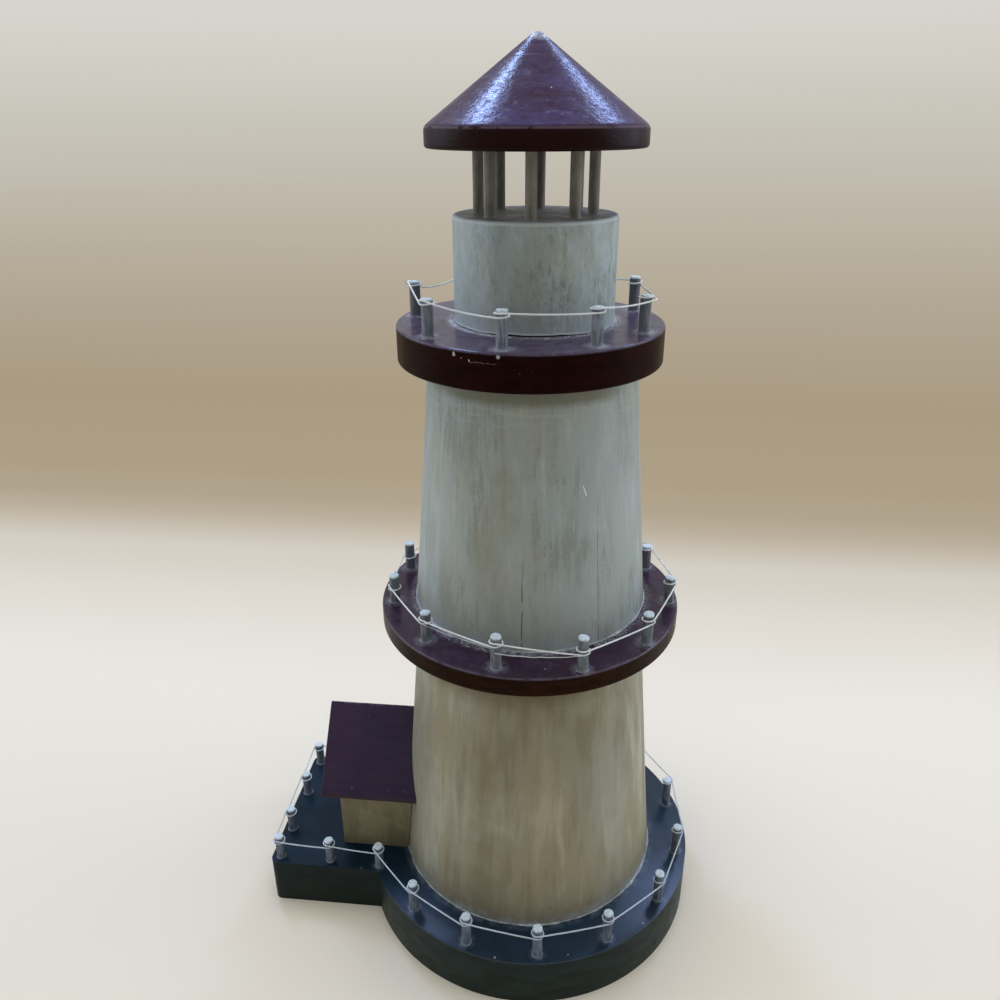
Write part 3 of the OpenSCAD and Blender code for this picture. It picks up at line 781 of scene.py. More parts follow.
def house_materials(c):
    """The house's roof paint, with nicks near the eaves, and its walls' olive wash, darker towards the
    foot.
    """
    roof, t = new_material("House roof paint", roughness=0.42, specular=0.12, coat_roughness=0.3)
    broad = t.noise(t.place, 60, 4, 0.6)
    base = t.mix(t.ramp(broad, 0.35, 0.65), (0.019, 0.0095, 0.031), (0.026, 0.011, 0.034))
    low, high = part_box("house_roof")
    place = t.split(t.place)
    base = t.over(base, (0.034, 0.009, 0.016), t.ramp(place[2], low.z + 2.6 * MM, low.z + 0.8 * MM), 0.5)
    nicks = in_mm((-63.9, -19.98, 49.9, 0.45), (-50.3, -20.07, 49.8, 0.4), (-43.9, -20.25, 49.6, 0.5),
                  (-68.8, -16.3, 54.3, 0.3))
    base = t.over(base, (0.3, 0.25, 0.28), marks(t, nicks, 0.8), 0.16)
    base = t.over(base, (0.16, 0.13, 0.14), t.ramp(place[2], high.z - 0.9 * MM, high.z - 0.2 * MM),
                  t.ramp(t.noise(t.place, 420, 4), 0.42, 0.56), 0.4)
    dust = t.mask("Specks", Vector=t.place, Scale=380.0, Size=0.08, Share=0.1)
    base = t.over(base, (0.25, 0.23, 0.24), dust, 0.4)
    brush = t.noise(t.stretched(t.place, (0.2, 1, 1)), 520, 4, 0.6)
    finish(t, base, brush, 0.03 * MM, t.value(t.ramp(brush, 0.3, 0.7), 0.38, 0.5),
           t.ramp(brush, 0.3, 0.7, 0.15, 0.3))

    wall, t = new_material("House wall wash", roughness=0.66, specular=0.3)
    streaks = t.noise(t.stretched(t.place, (1, 1, 0.25)), 260, 3, 0.6, 0.4)
    cloud = t.noise(t.place, 75, 4, 0.6)
    tone = t.plus(t.times(streaks, 0.45), t.times(cloud, 0.55))
    base = t.mix(t.ramp(tone, 0.4, 0.6), toned(c.wall, 0.84), toned(c.wall, 1.16))
    # Darker towards the foot of the walls
    rise = t.minus(t.split(t.place)[2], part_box("house_body")[0].z)
    ragged = t.plus(rise, t.times(t.noise(t.place, 160, 4), 10 * MM))
    base = t.over(base, toned(c.wall, 0.5), t.ramp(ragged, 19 * MM, 4 * MM), 0.06)
    specks = t.mask("Specks", Vector=t.place, Scale=300.0, Size=0.1, Share=0.12)
    base = t.over(base, toned(c.wall, 0.4), specks, 0.4)
    finish(t, base, tone, 0.05 * MM)
    return roof, wall


def green_material(c, posts):
    """Gloss paint on the base board: blue-green top with glue at the posts and tower, darker sides; top and
    sides are lit and shaded copies of one paint, the top's blue a painted reflection, and the wing is
    painted darker as painted shade.
    """
    material, t = new_material("Base board gloss", roughness=0.4, specular=0.1, coat_roughness=0.25)
    top_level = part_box("base_board")[1].z
    place = t.split(t.place)
    on_top = t.ramp(place[2], top_level - 1.1 * MM, top_level - 0.35 * MM)
    brush = t.noise(t.stretched(t.place, (0.22, 1, 1)), 300, 5, 0.6)
    cloud = t.noise(t.place, 42, 4, 0.6)
    top = t.mix(t.ramp(cloud, 0.35, 0.65), toned(c.green, 0.75), toned(c.green, 1.3))
    grain = t.noise(t.stretched(t.place, (0.3, 0.3, 1)), 260, 4, 0.6)
    side = t.mix(t.ramp(grain, 0.35, 0.65), toned(c.green_dark, 0.8), toned(c.green_dark, 1.3))
    # Top and sides: lit and shaded copies of one paint, the top's blue a painted reflection
    base = t.mix(on_top, side, top)
    smear = t.mask("Film", Vector=t.place, Scale=480.0, Cover=0.5, Softness=0.12)
    base = t.over(base, (0.2, 0.23, 0.27), near_posts(t, posts, top_level, 3.6 * MM), smear, on_top, 0.5)
    film = t.mask("Film", Vector=t.place, Scale=230.0, Cover=0.5, Softness=0.16)
    close = t.ramp(from_foot(t, "lower_tower", top_level), 3.2 * MM, 0.3 * MM)
    base = t.over(base, (0.13, 0.16, 0.2), close, film, on_top, 0.5)
    nicks = in_mm((-6.3, -61.0, 18.9, 0.5), (18.1, -57.4, 19, 0.4), (-60.5, -28.8, 18.8, 0.4),
                  (44, -42.6, 19, 0.4))
    base = t.over(base, (0.3, 0.33, 0.33), marks(t, nicks), 0.7)
    dust = t.mask("Specks", Vector=t.place, Scale=300.0, Size=0.07, Share=0.12)
    base = t.over(base, (0.2, 0.22, 0.24), dust, 0.2)
    base = t.over(base, (0.05, 0.07, 0.08), on_top,
                  t.ramp(place[2], top_level - 0.15 * MM, top_level - 0.5 * MM),
                  t.ramp(t.noise(t.place, 210, 5), 0.4, 0.6), 0.3)
    # Painted shade: the board is painted darker towards the far end of the wing
    base = t.mix(t.ramp(place[0], -45 * MM, -60 * MM), base, (0.72, 0.76, 0.78), "MULTIPLY")
    finish(t, base, t.plus(brush, t.times(grain, 0.5)), 0.035 * MM,
           t.value(t.ramp(brush, 0.3, 0.7), 0.36, 0.5),
           t.times(on_top, t.ramp(place[0], -30 * MM, -55 * MM, 0.45, 0.04)))
    return material


def dowel_material(name, side, end, foot, stain, contrast=0.3):
    """A washed dowel: grain along it, a rough pale end, pale paint at its foot and smears of red."""
    material, t = new_material(name, roughness=0.6, specular=0.35)
    grain = t.noise(t.stretched(t.place, (1, 1, 0.1)), 1900, 3, 0.6)
    patch = t.noise(t.stretched(t.place, (1, 1, 0.5)), 420, 4, 0.6)
    tone = t.plus(t.times(grain, 0.45), t.times(patch, 0.55))
    base = t.mix(t.ramp(tone, 0.38, 0.62), toned(side, 1 - contrast), toned(side, 1 + contrast))
    base = t.over(base, stain, t.stored("stain"), t.ramp(patch, 0.35, 0.6, 0.35, 1.0))
    at_end = t.stored("end")
    cut = t.noise(t.place, 2600, 5, 0.7)
    ragged = t.ramp(t.plus(at_end, t.times(t.minus(cut, 0.5), 0.5)), 0.35, 0.65)
    base = t.mix(ragged, base, t.mix(t.ramp(cut, 0.4, 0.6), toned(end, 0.6), end))
    smear = t.times(t.stored("foot"), t.ramp(t.noise(t.place, 900, 4), 0.25, 0.6))
    base = t.over(base, foot, t.ramp(smear, 0.2, 0.8), 0.5)
    finish(t, base, t.plus(grain, t.times(cut, at_end)), 0.07 * MM)
    return material


def string_material(name, colour):
    """Cotton string: pale on its crowns and darker between the yarns as painted shade, with fine fibres
    along them.
    """
    material, t = new_material(name, roughness=0.8, specular=0.2)
    t.shader.inputs["Sheen Weight"].default_value = 0.25
    crown = t.stored("crown")
    fibres = t.noise(t.place, 4200, 3, 0.7)
    cloud = t.noise(t.place, 130, 3)
    pale = t.mix(t.ramp(cloud, 0.4, 0.62), colour, toned(colour, (0.92, 0.93, 0.9)))
    # Painted shade: darker down between the yarns, by how far out each point lies
    base = t.mix(t.ramp(crown, 0.0, 0.7), toned(colour, 0.76), pale)
    base = t.over(base, toned(colour, 0.55), t.ramp(fibres, 0.55, 0.35), 0.2)
    finish(t, base, t.plus(crown, fibres), 0.06 * MM)
    return material


def plain_materials(c):
    """Dried glue, and the bare wood of the dowels inside the tower."""
    glue, t = new_material("Dried glue", roughness=0.35, specular=0.5)
    lumps = t.noise(t.place, 700, 5, 0.65)
    base = t.mix(t.ramp(lumps, 0.35, 0.65), toned(c.glue, 0.5), c.glue)
    finish(t, base, lumps, 0.15 * MM, t.ramp(lumps, 0.3, 0.7, 0.55, 0.3))
    bare, t = new_material("Bare dowel", roughness=0.65, specular=0.3)
    grain = t.noise(t.stretched(t.place, (1, 1, 0.04)), 900, 5, 0.65)
    base = t.mix(t.ramp(grain, 0.35, 0.65), toned(c.bare, 0.75), c.bare)
    finish(t, base, grain, 0.05 * MM)
    return glue, bare


# Pieces

def post_spots(nodes):
    """Where posts stand: the middle in plan, the foot and the top of each node."""
    spots = []
    for node in nodes:
        low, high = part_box(node)
        spots.append(((low.x + high.x) / 2, (low.y + high.y) / 2, low.z, high.z))
    return spots


def wing_spots(radius):
    """The posts on the wing are one node: its vertices are gathered round each post's middle."""
    low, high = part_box("wing_posts")
    heaps = []
    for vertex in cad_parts["wing_posts"].data.vertices:
        for heap in heaps:
            if (heap[0] - vertex.co).xy.length < 2.2 * radius:
                heap.append(vertex.co)
                break
        else:
            heaps.append([vertex.co])
    spots = []
    for heap in heaps:
        xs, ys = [p.x for p in heap], [p.y for p in heap]
        spots.append(((min(xs) + max(xs)) / 2, (min(ys) + max(ys)) / 2, low.z, high.z))
    return sorted(spots, key=lambda s: math.atan2(s[1], s[0]) % (2 * math.pi))


def model_dowel(radius, length, depth, edge):
    """One dowel at the origin: a rim eased by a bevel, rings for its foot and sides, and a rough end."""
    deselect()
    bpy.ops.mesh.primitive_cylinder_add(vertices=20, radius=radius, depth=length,
                                        location=(0, 0, length / 2))
    piece = added("dowel")
    edit(piece)
    for height in (depth, depth + 0.15 * MM, depth + 0.35 * MM, depth + 0.7 * MM, depth + 2 * MM,
                   length - 2.6 * MM, length - 1.1 * MM):
        bpy.ops.mesh.select_all(action="SELECT")
        bpy.ops.mesh.bisect(plane_co=(0, 0, height), plane_no=(0, 0, 1))
    bpy.ops.mesh.select_mode(type="EDGE")
    pick(piece, "edges", lambda e: all(v.co.z > length - 0.01 * MM for v in e.verts))
    bpy.ops.mesh.bevel(offset=edge, segments=2, affect="EDGES")
    bpy.ops.mesh.select_mode(type="FACE")
    pick(piece, "faces", lambda f: f.normal.z > 0.99 and f.calc_center_median().z > length - 0.01 * MM)
    bpy.ops.mesh.inset(thickness=radius * 0.35)
    bpy.ops.mesh.poke()
    done_editing()
    return piece


def stand_dowel(template, name, spot, depth, length, collar, rough, chance, stain=0.0):
    """A copy of the dowel at one place, stretched to its height, each a little different."""
    piece = template.copy()
    piece.data = template.data.copy()
    piece.name = piece.data.name = name
    bpy.context.scene.collection.objects.link(piece)
    x, y, foot, top = spot
    middle = (depth + length) / 2
    seed = Vector((chance.uniform(0, 50), chance.uniform(0, 50), chance.uniform(0, 50)))
    turn = chance.uniform(0, math.pi)
    lean = chance.uniform(0, 2 * math.pi)
    slope = chance.uniform(0.02, 0.1) * rough
    ends, feet = [], []
    for vertex in piece.data.vertices:
        p = vertex.co.copy()
        rise = p.z - depth
        end = max(0.0, 1 - (length - p.z) / (1.2 * MM)) if rough else 0.0
        near = max(0.0, 1 - abs(rise) / (0.75 * MM)) if rise > -0.05 * MM else 0.0
        lump = noise.noise(seed + p * 700)
        swell = 1 + 0.025 * noise.noise(seed + Vector((p.x * 900, p.y * 900, p.z * 90)))
        around = Vector((p.x, p.y, 0))
        if around.length > 1e-6:
            around *= swell
            around += around.normalized() * (collar * near * near * (0.6 + 0.8 * lump + 0.25))
        if p.z > middle:
            p.z += (top - foot) - length
        if rough:
            tilt = slope * (around.x * math.cos(lean) + around.y * math.sin(lean))
            p.z += end * (tilt - 0.12 * MM * (1 + noise.noise(seed * 2 + p * 1400)) * rough)
        c, s = math.cos(turn), math.sin(turn)
        vertex.co = (x + around.x * c - around.y * s, y + around.x * s + around.y * c, foot + p.z)
        ends.append(end)
        feet.append(near)
    store(piece, "end", ends)
    store(piece, "foot", feet)
    store(piece, "stain", [stain] * len(ends))
    smooth(piece, 50)
    return piece


def outward(a, b):
    d = (b - a).normalized()
    return Vector((d.y, -d.x, 0))


def string_route(spots, levels, sags, wrap, climb, loose=None):
    """The string's route, as in the frame: past each post on the outside, one full turn, and on."""
    count = len(spots)
    at = [Vector((s[0], s[1], 0)) for s in spots]
    turns = []
    for i in range(count):
        arrive = outward(at[i - 1], at[i])
        leave = outward(at[i], at[(i + 1) % count])
        first = math.atan2(arrive.y, arrive.x)
        bend = (math.atan2(leave.y, leave.x) - first + math.pi) % (2 * math.pi) - math.pi
        sweep = 2 * math.pi + bend
        rise = climb * sweep / (2 * math.pi)
        steps = 30
        extra = (loose or {}).get(i, 0.0)
        turn = []
        for k in range(steps + 1):
            s = k / steps
            r = wrap + extra * math.exp(-((s - 0.12) / 0.1) ** 2)
            a = first + sweep * s
            turn.append(at[i] + Vector((r * math.cos(a), r * math.sin(a), levels[i] + rise * (s - 0.5))))
        turns.append(turn)
    route = []
    for i in range(count):
        route += turns[i]
        start, end = turns[i][-1], turns[(i + 1) % count][0]
        pieces = max(4, round((end - start).length / (0.5 * MM)))
        for k in range(1, pieces):
            s = k / pieces
            route.append(start.lerp(end, s) - Vector((0, 0, 4 * sags[i] * s * (1 - s))))
    return route


def evenly(points, step, closed=True):
    """The same route in even steps."""
    ring = points + [points[0]] if closed else points
    lengths = [0.0]
    for a, b in zip(ring, ring[1:]):
        lengths.append(lengths[-1] + (b - a).length)
    count = max(6, round(lengths[-1] / step))
    out, j = [], 0
    for k in range(count if closed else count + 1):
        want = lengths[-1] * k / count
        while j < len(ring) - 2 and lengths[j + 1] < want:
            j += 1
        span = lengths[j + 1] - lengths[j]
        out.append(ring[j].lerp(ring[j + 1], (want - lengths[j]) / span if span > 0 else 0))
    return out


def yarn_outline(plies, radius, per_ply=5):
    """The outline of yarns laid side by side: the point's angle, its radius, and how far out it lies."""
    middle, yarn = 0.46 * radius, 0.54 * radius
    outline = []
    for ply in range(plies):
        for k in range(per_ply):
            off = (k / per_ply - 0.5) * 2 * math.pi / plies
            r = middle * math.cos(off) + math.sqrt(yarn ** 2 - (middle * math.sin(off)) ** 2)
            outline.append((2 * math.pi * ply / plies + off, r))
    least = min(r for a, r in outline)
    return [(a, r, (r - least) / (radius - least)) for a, r in outline]


def twisted(points, outline, lay, closed=True, taper=0):
    """Rings, faces and crowns of a twisted cord that follows the points."""
    count = len(points)
    rings, crowns, faces = [], [], []
    travelled = 0.0
    total = sum((points[(i + 1) % count] - points[i]).length for i in range(count))
    if closed:
        lay = total / round(total / lay)
    for i, p in enumerate(points):
        before = points[i - 1] if closed or i else p
        after = points[(i + 1) % count] if closed or i < count - 1 else p
        t = (after - before).normalized()
        side = t.cross(Vector((0, 0, 1))).normalized()
        up = side.cross(t)
        turn = 2 * math.pi * travelled / lay
        thin = 1.0
        if taper and not closed:
            thin = min(1.0, (i + 1) / taper, (count - i) / taper) ** 0.5
        for a, r, crown in outline:
            wave = 1 + 0.06 * noise.noise(p * 600 + Vector((a, 0, 0)))
            rings.append(p + thin * wave * r * (math.cos(a + turn) * side + math.sin(a + turn) * up))
            crowns.append(crown)
        travelled += (points[(i + 1) % count] - p).length
    n = len(outline)
    for i in range(count if closed else count - 1):
        for j in range(n):
            a, b = i * n + j, i * n + (j + 1) % n
            c, d = ((i + 1) % count) * n + (j + 1) % n, ((i + 1) % count) * n + j
            faces.append((a, b, c, d))
    if not closed:
        faces.append(tuple(range(n))[::-1])
        faces.append(tuple((count - 1) * n + j for j in range(n)))
    return rings, crowns, faces


def string_piece(name, route, sizes, tails=()):
    """One railing's string: a closed twisted cord, with loose ends and strands of a share of its size."""
    outline = yarn_outline(sizes.plies, sizes.string / 2)
    points = evenly(route, 0.3 * MM)
    rings, crowns, faces = twisted(points, outline, sizes.string_lay)
    for tail, share in tails:
        ends = evenly(tail, 0.2 * MM, closed=False)
        thinner = yarn_outline(sizes.plies, share * sizes.string / 2)
        more, tops, extra = twisted(ends, thinner, sizes.string_lay, closed=False, taper=3)
        faces += [tuple(len(rings) + k for k in face) for face in extra]
        rings += more
        crowns += tops
    piece = mesh_piece(name, rings, faces)
    store(piece, "crown", crowns)
    deselect()
    edit(piece)
    bpy.ops.mesh.select_all(action="SELECT")
    bpy.ops.mesh.normals_make_consistent(inside=False)
    done_editing()
    smooth(piece, 60)
    return piece


def bead_ring(name, centre, radius, z, thick, seed, floor=0.25, gap=None):
    """A bead of squeezed-out glue round a foot: thick in places, nearly gone in others, none in the gap."""
    deselect()
    bpy.ops.mesh.primitive_torus_add(major_segments=300, minor_segments=10, major_radius=radius,
                                     minor_radius=thick, location=(centre.x, centre.y, z))
    piece = added(name)
    for vertex in piece.data.vertices:
        out = vertex.co - Vector((centre.x, centre.y, z))
        flat = Vector((out.x, out.y, 0))
        spine = flat.normalized() * radius
        lump = noise.fractal(Vector((spine.x * 130, spine.y * 130, seed)), 0.6, 2.0, 4)
        fine = noise.noise(Vector((spine.x * 900, spine.y * 900, seed)))
        grow = max(floor, 0.75 + 0.9 * lump + 0.25 * fine)
        if gap and gap[0] < math.degrees(math.atan2(out.y, out.x)) < gap[1]:
            grow = 0.12
        section = (out - spine) * grow
        section.z *= 0.75
        vertex.co = Vector((centre.x, centre.y, z)) + spine + section
    smooth(piece, 80)
    return piece


def crumbs(name, seeds, chance):
    """Crumbs of dried paint, one small lump modelled once and copied to each place."""
    deselect()
    bpy.ops.mesh.primitive_ico_sphere_add(subdivisions=1, radius=1)
    lump = added("crumb")
    points, faces = [], []
    corners = [v.co.copy() for v in lump.data.vertices]
    polygons = [tuple(p.vertices) for p in lump.data.polygons]
    bpy.data.meshes.remove(lump.data)
    for at, radius in seeds:
        stretch = Vector((chance.uniform(0.7, 1.5), chance.uniform(0.6, 1.1), chance.uniform(0.4, 0.7)))
        turn = Matrix.Rotation(chance.uniform(0, 2 * math.pi), 3, "Z")
        first = len(points)
        for c in corners:
            shaken = Vector((c.x * stretch.x, c.y * stretch.y, c.z * stretch.z)) * chance.uniform(0.75, 1.2)
            points.append(Vector(at) + turn @ (shaken * radius))
        faces += [tuple(first + k for k in p) for p in polygons]
    return mesh_piece(name, points, faces)


class ORNAMENT_OT_tower(bpy.types.Operator):
    """Paint the three turned blocks of the tower"""
    bl_idname = "ornament.tower"
    bl_label = "Tower"

    def stains_and_painted_light(self, node, radius, *rows):
        """Stains, and patches of painted light and painted shade, on a block: each one's direction in
        degrees, height and size in mm, strength and tint.
        """
        return [(on_side(node, a, radius * MM, z * MM), r * MM, strength, tint)
                for a, z, r, strength, tint in rows]

    def execute(self, context):
        c = context.scene.ornament_colours
        olive, grey, shade = (0.235, 0.205, 0.118), (0.345, 0.37, 0.33), (0.2, 0.2, 0.15)
        lower = tower_material(
            "Lower tower wash", "lower_tower", c.lower_pale, c.lower_mid, c.lower_deep, (0.19, 0.19, 0.145),
            stains_and_painted_light=self.stains_and_painted_light(
                "lower_tower", 41, (-107, 70, 9, 0.5, olive), (-80, 104, 13, 0.5, olive),
                (-97, 45, 10, 0.2, olive), (-60, 88, 8, 0.3, olive), (-150, 84, 12, 0.2, grey),
                (-140, 42, 14, 0.4, grey), (-47, 66, 16, 0.5, grey), (-95, 30, 8, 0.3, grey),
                # The last two rows are painted shade: darker patches on the left, where the house keeps
                # light off the tower
                (-156, 62, 21, 0.6, shade), (-158, 97, 20, 0.55, shade)),
            foot_dirt=0.35, foot_reach=14 * MM, top_shade=1.0, top_reach=18 * MM, top_soft=0.6,
            top_side=-108, stretch=0.09, fine=0.04, contrast=1.3)
        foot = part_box("upper_tower")[0].z
        # The second colour is a painted light tint for the tower's lit sides
        olive, painted_side_light = (0.26, 0.255, 0.18), (0.42, 0.46, 0.45)
        upper = tower_material(
            "Upper tower wash", "upper_tower", c.upper_pale, c.upper_mid, c.upper_deep, (0.24, 0.26, 0.24),
            seams=((-89.6, foot, foot + 34 * MM, 0.75), (-52.6, foot, foot + 50 * MM, 0.5)),
            chips=in_mm(*((x, y, z, 0.3) for x, y, z in (
                (17.2, -30.35, 179.2), (17.35, -30.25, 178.7), (17.5, -30.2, 178.2), (17.7, -30.1, 177.7),
                (17.85, -30.0, 177.3), (18.0, -29.95, 176.9), (18.0, -30.0, 176.4)))),
            stains_and_painted_light=self.stains_and_painted_light(
                "upper_tower", 35, (-98, 176, 7, 0.5, olive), (-108, 157, 9, 0.55, olive),
                # The two pale bluish patches on the right and left are painted light, where the side light
                # falls
                (-101, 139, 9, 0.55, olive), (-30, 172, 16, 0.4, painted_side_light), (-129, 168, 12, 0.5, painted_side_light)),
            foot_dirt=0.12, top_shade=0.9, top_reach=7.6 * MM, top_soft=0.4, band=0.5, stretch=0.15,
            fine=0.15)
        white, brown = (0.42, 0.48, 0.5), (0.27, 0.28, 0.22)
        drum = tower_material(
            "Drum wash", "lantern_drum", toned(c.upper_pale, (0.95, 0.97, 1.0)),
            toned(c.upper_mid, (0.94, 0.97, 0.98)), toned(c.upper_deep, (0.88, 0.93, 1.0)),
            (0.5, 0.55, 0.58), stains_and_painted_light=self.stains_and_painted_light(
                # The first row is painted light: a pale bluish patch on the drum's left, where the side
                # light falls
                "lantern_drum", 24, (-150, 236, 14, 0.55, (0.45, 0.53, 0.58)),
                (-112, 246, 6, 0.4, (0.22, 0.23, 0.2)), (-88, 238, 8, 0.35, brown),
                (-58, 242, 5, 0.5, white), (-50, 232, 5, 0.5, white)),
            foot_dirt=0.35, foot_reach=9 * MM, stretch=0.34, fine=0.3, contrast=1.2)
        for node, material in (("lower_tower", lower), ("upper_tower", upper), ("lantern_drum", drum)):
            paint_node(node, material)
        return {"FINISHED"}


class ORNAMENT_OT_boards(bpy.types.Operator):
    """Paint the two galleries and the roof"""
    bl_idname = "ornament.boards"
    bl_label = "Galleries and roof"

    def execute(self, context):
        c = context.scene.ornament_colours
        nicks = [(on_side("upper_gallery", a, radius_of("upper_gallery"), z * MM), r * MM) for a, z, r in (
            (-116.2, 219.4, 0.66), (-112.9, 218.6, 0.22), (-109.6, 218.05, 0.36), (-98, 219.6, 0.62),
            (-89.8, 215.6, 0.18))]
        # Both galleries' tops take the dust colour, which also holds a painted sheen
        paint_node("upper_gallery", board_material(
            "Upper gallery gloss", "upper_gallery", c.wine, c.wine_dark, c.dust, "upper_post_",
            "lantern_drum", nicks, dust_and_sheen_cover=0.85, wear=0.45, gloss=0.3, crusted=1.0, smeared=0.72,
            cracks=((-104, 6, 217.9 * MM),)))
        nicks = [((7.9 * MM, -47 * MM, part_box("middle_gallery")[1].z), 0.3 * MM)]
        paint_node("middle_gallery", board_material(
            "Middle gallery gloss", "middle_gallery", toned(c.wine, 0.8),
            toned(c.wine_dark, (1.6, 3.4, 1.4)), toned(c.dust, (0.56, 0.47, 0.5)), "middle_post_",
            "upper_tower", nicks, dust_and_sheen_cover=0.55, wear=0.62, gloss=0.42, crusted=0.4, smeared=0.3))
        sizes = context.scene.ornament_sizes
        dress(self.turned_roof(sizes), roof_material(c, sizes.roof_rim), ["roof"])
        return {"FINISHED"}

    def turned_roof(self, s):
        """The turned roof: an upright rim with eased edges under a cone with faint tool rings."""
        low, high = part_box("roof")
        centre, radius = centre_of("roof"), radius_of("roof")
        deselect()
        bpy.ops.mesh.primitive_cylinder_add(vertices=256, radius=radius, depth=s.roof_rim,
                                            location=(centre.x, centre.y, low.z + s.roof_rim / 2))
        roof = added("roof_turned")
        edit(roof)
        pick(roof, "faces", lambda f: f.normal.z > 0.99)
        rise = (0, 0, high.z - low.z - s.roof_rim)
        bpy.ops.mesh.extrude_region_move(TRANSFORM_OT_translate={"value": rise})
        share = s.roof_tip / radius
        bpy.ops.transform.resize(value=(share, share, 1), center_override=(centre.x, centre.y, high.z))
        bpy.ops.mesh.select_mode(type="EDGE")
        for height, width in ((low.z, 0.9 * s.roof_edge), (low.z + s.roof_rim, s.roof_edge),
                              (high.z, 0.8 * s.roof_tip)):
            pick(roof, "edges", lambda e: all(abs(v.co.z - height) < 0.01 * MM for v in e.verts))
            bpy.ops.mesh.bevel(offset=width, segments=4, affect="EDGES")
        height = low.z + s.roof_rim + 0.8 * MM
        while height < high.z - MM:
            bpy.ops.mesh.select_all(action="SELECT")
            bpy.ops.mesh.bisect(plane_co=(0, 0, height), plane_no=(0, 0, 1))
            height += 0.4 * MM
        done_editing()
        for vertex in roof.data.vertices:
            p = vertex.co
            out = Vector((p.x - centre.x, p.y - centre.y, 0))
            if p.z > low.z + s.roof_rim + 0.3 * MM and out.length > 2 * MM:
                cut = 1 + noise.noise(Vector((out.x * 9, out.y * 9, p.z * 1300)))
                lump = 1 + noise.noise(p * 140)
                p -= out.normalized() * (0.022 * cut + 0.05 * lump) * MM
        smooth(roof, 30)
        return roof


class ORNAMENT_OT_base(bpy.types.Operator):
    """Model the base board with eased edges and paint it"""
    bl_idname = "ornament.base"
    bl_label = "Base board"

    def execute(self, context):
        s = context.scene.ornament_sizes
        low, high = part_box("base_board")
        radius = (high.y - low.y) / 2
        thick = high.z - low.z
        centre = Vector((high.x - radius, (low.y + high.y) / 2, thick / 2))
        deselect()
        bpy.ops.mesh.primitive_cylinder_add(vertices=256, radius=radius, depth=thick, location=centre)
        board = added("base_board_eased")
        deselect()
        reach = centre.x - low.x
        bpy.ops.mesh.primitive_cube_add(size=1, location=(low.x + reach / 2, 0, thick / 2),
                                        scale=(reach, s.wing_width, thick))
        wing = added("wing")
        edit(wing, "EDGE")
        pick(wing, "edges", lambda e: all(v.co.x < low.x + 0.1 * MM for v in e.verts)
             and abs(e.verts[0].co.z - e.verts[1].co.z) > thick / 2)
        bpy.ops.mesh.bevel(offset=s.wing_corner, segments=8, affect="EDGES")
        done_editing()
        combine(board, wing, "UNION")
        edit(board, "EDGE")
        pick(board, "edges", lambda e: abs(e.verts[0].co.z - e.verts[1].co.z) < 0.001 * MM
             and e.calc_face_angle(0) > 1.2)
        bpy.ops.mesh.bevel(offset=s.board_edge, segments=4, affect="EDGES", clamp_overlap=True)
        done_editing()
        smooth(board, 40)
        posts = numbered("base_post_")
        dress(board, green_material(context.scene.ornament_colours, posts), ["base_board"])
        return {"FINISHED"}


class ORNAMENT_OT_house(bpy.types.Operator):
    """Model the gabled house and paint it"""
    bl_idname = "ornament.house"
    bl_label = "House"

    def tower(self, gap):
        """The lower tower's cone with the house's clearance, to cut with."""
        low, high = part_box("lower_tower")
        foot = radius_of("lower_tower")
        deselect()
        over = 2 * MM
        slope = (foot - LOWER_TOWER_TOP) / (high.z - low.z)
        bpy.ops.mesh.primitive_cone_add(
            vertices=256, radius1=foot + gap + slope * over, radius2=LOWER_TOWER_TOP + gap,
            depth=high.z - low.z + over, location=(0, 0, (low.z + high.z - over) / 2))
        return added("tower_cut")

    def block(self, node, name):
        """A block that fills the box of a node, as far as the tower's axis."""
        low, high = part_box(node)
        deselect()
        bpy.ops.mesh.primitive_cube_add(size=1, location=(low.x / 2, 0, (low.z + high.z) / 2),
                                        scale=(-low.x, high.y - low.y, high.z - low.z))
        return low, high, added(name)

    def execute(self, context):
        s = context.scene.ornament_sizes
        roof_paint, wall_paint = house_materials(context.scene.ornament_colours)
        low, high, walls = self.block("house_body", "house_walls")
        edit(walls, "EDGE")
        pick(walls, "edges", lambda e: all(v.co.x < low.x + 0.1 * MM for v in e.verts)
             and abs(e.verts[0].co.z - e.verts[1].co.z) > MM)
        bpy.ops.mesh.bevel(offset=s.house_edge, segments=3, affect="EDGES")
        done_editing()
        combine(walls, self.tower(s.house_gap), "DIFFERENCE")
        smooth(walls, 30)
        dress(walls, wall_paint, ["house_body"])

        low, high, roof = self.block("house_roof", "house_gable_roof")
        edit(roof)
        bpy.ops.mesh.select_all(action="SELECT")
        bpy.ops.mesh.bisect(plane_co=(0, 0, 0), plane_no=(0, 1, 0))
        bpy.ops.mesh.select_mode(type="VERT")
        pick(roof, "verts", lambda v: v.co.z > high.z - 0.1 * MM and abs(v.co.y) > MM)
        bpy.ops.transform.translate(value=(0, 0, low.z + s.eave - high.z))
        bpy.ops.mesh.select_mode(type="EDGE")
        pick(roof, "edges", lambda e: e.calc_face_angle(0) > 0.3)
        bpy.ops.mesh.bevel(offset=s.house_edge, segments=3, affect="EDGES", clamp_overlap=True)
        done_editing()
        combine(roof, self.tower(s.house_gap), "DIFFERENCE")
        smooth(roof, 30)
        dress(roof, roof_paint, ["house_roof"])
        return {"FINISHED"}


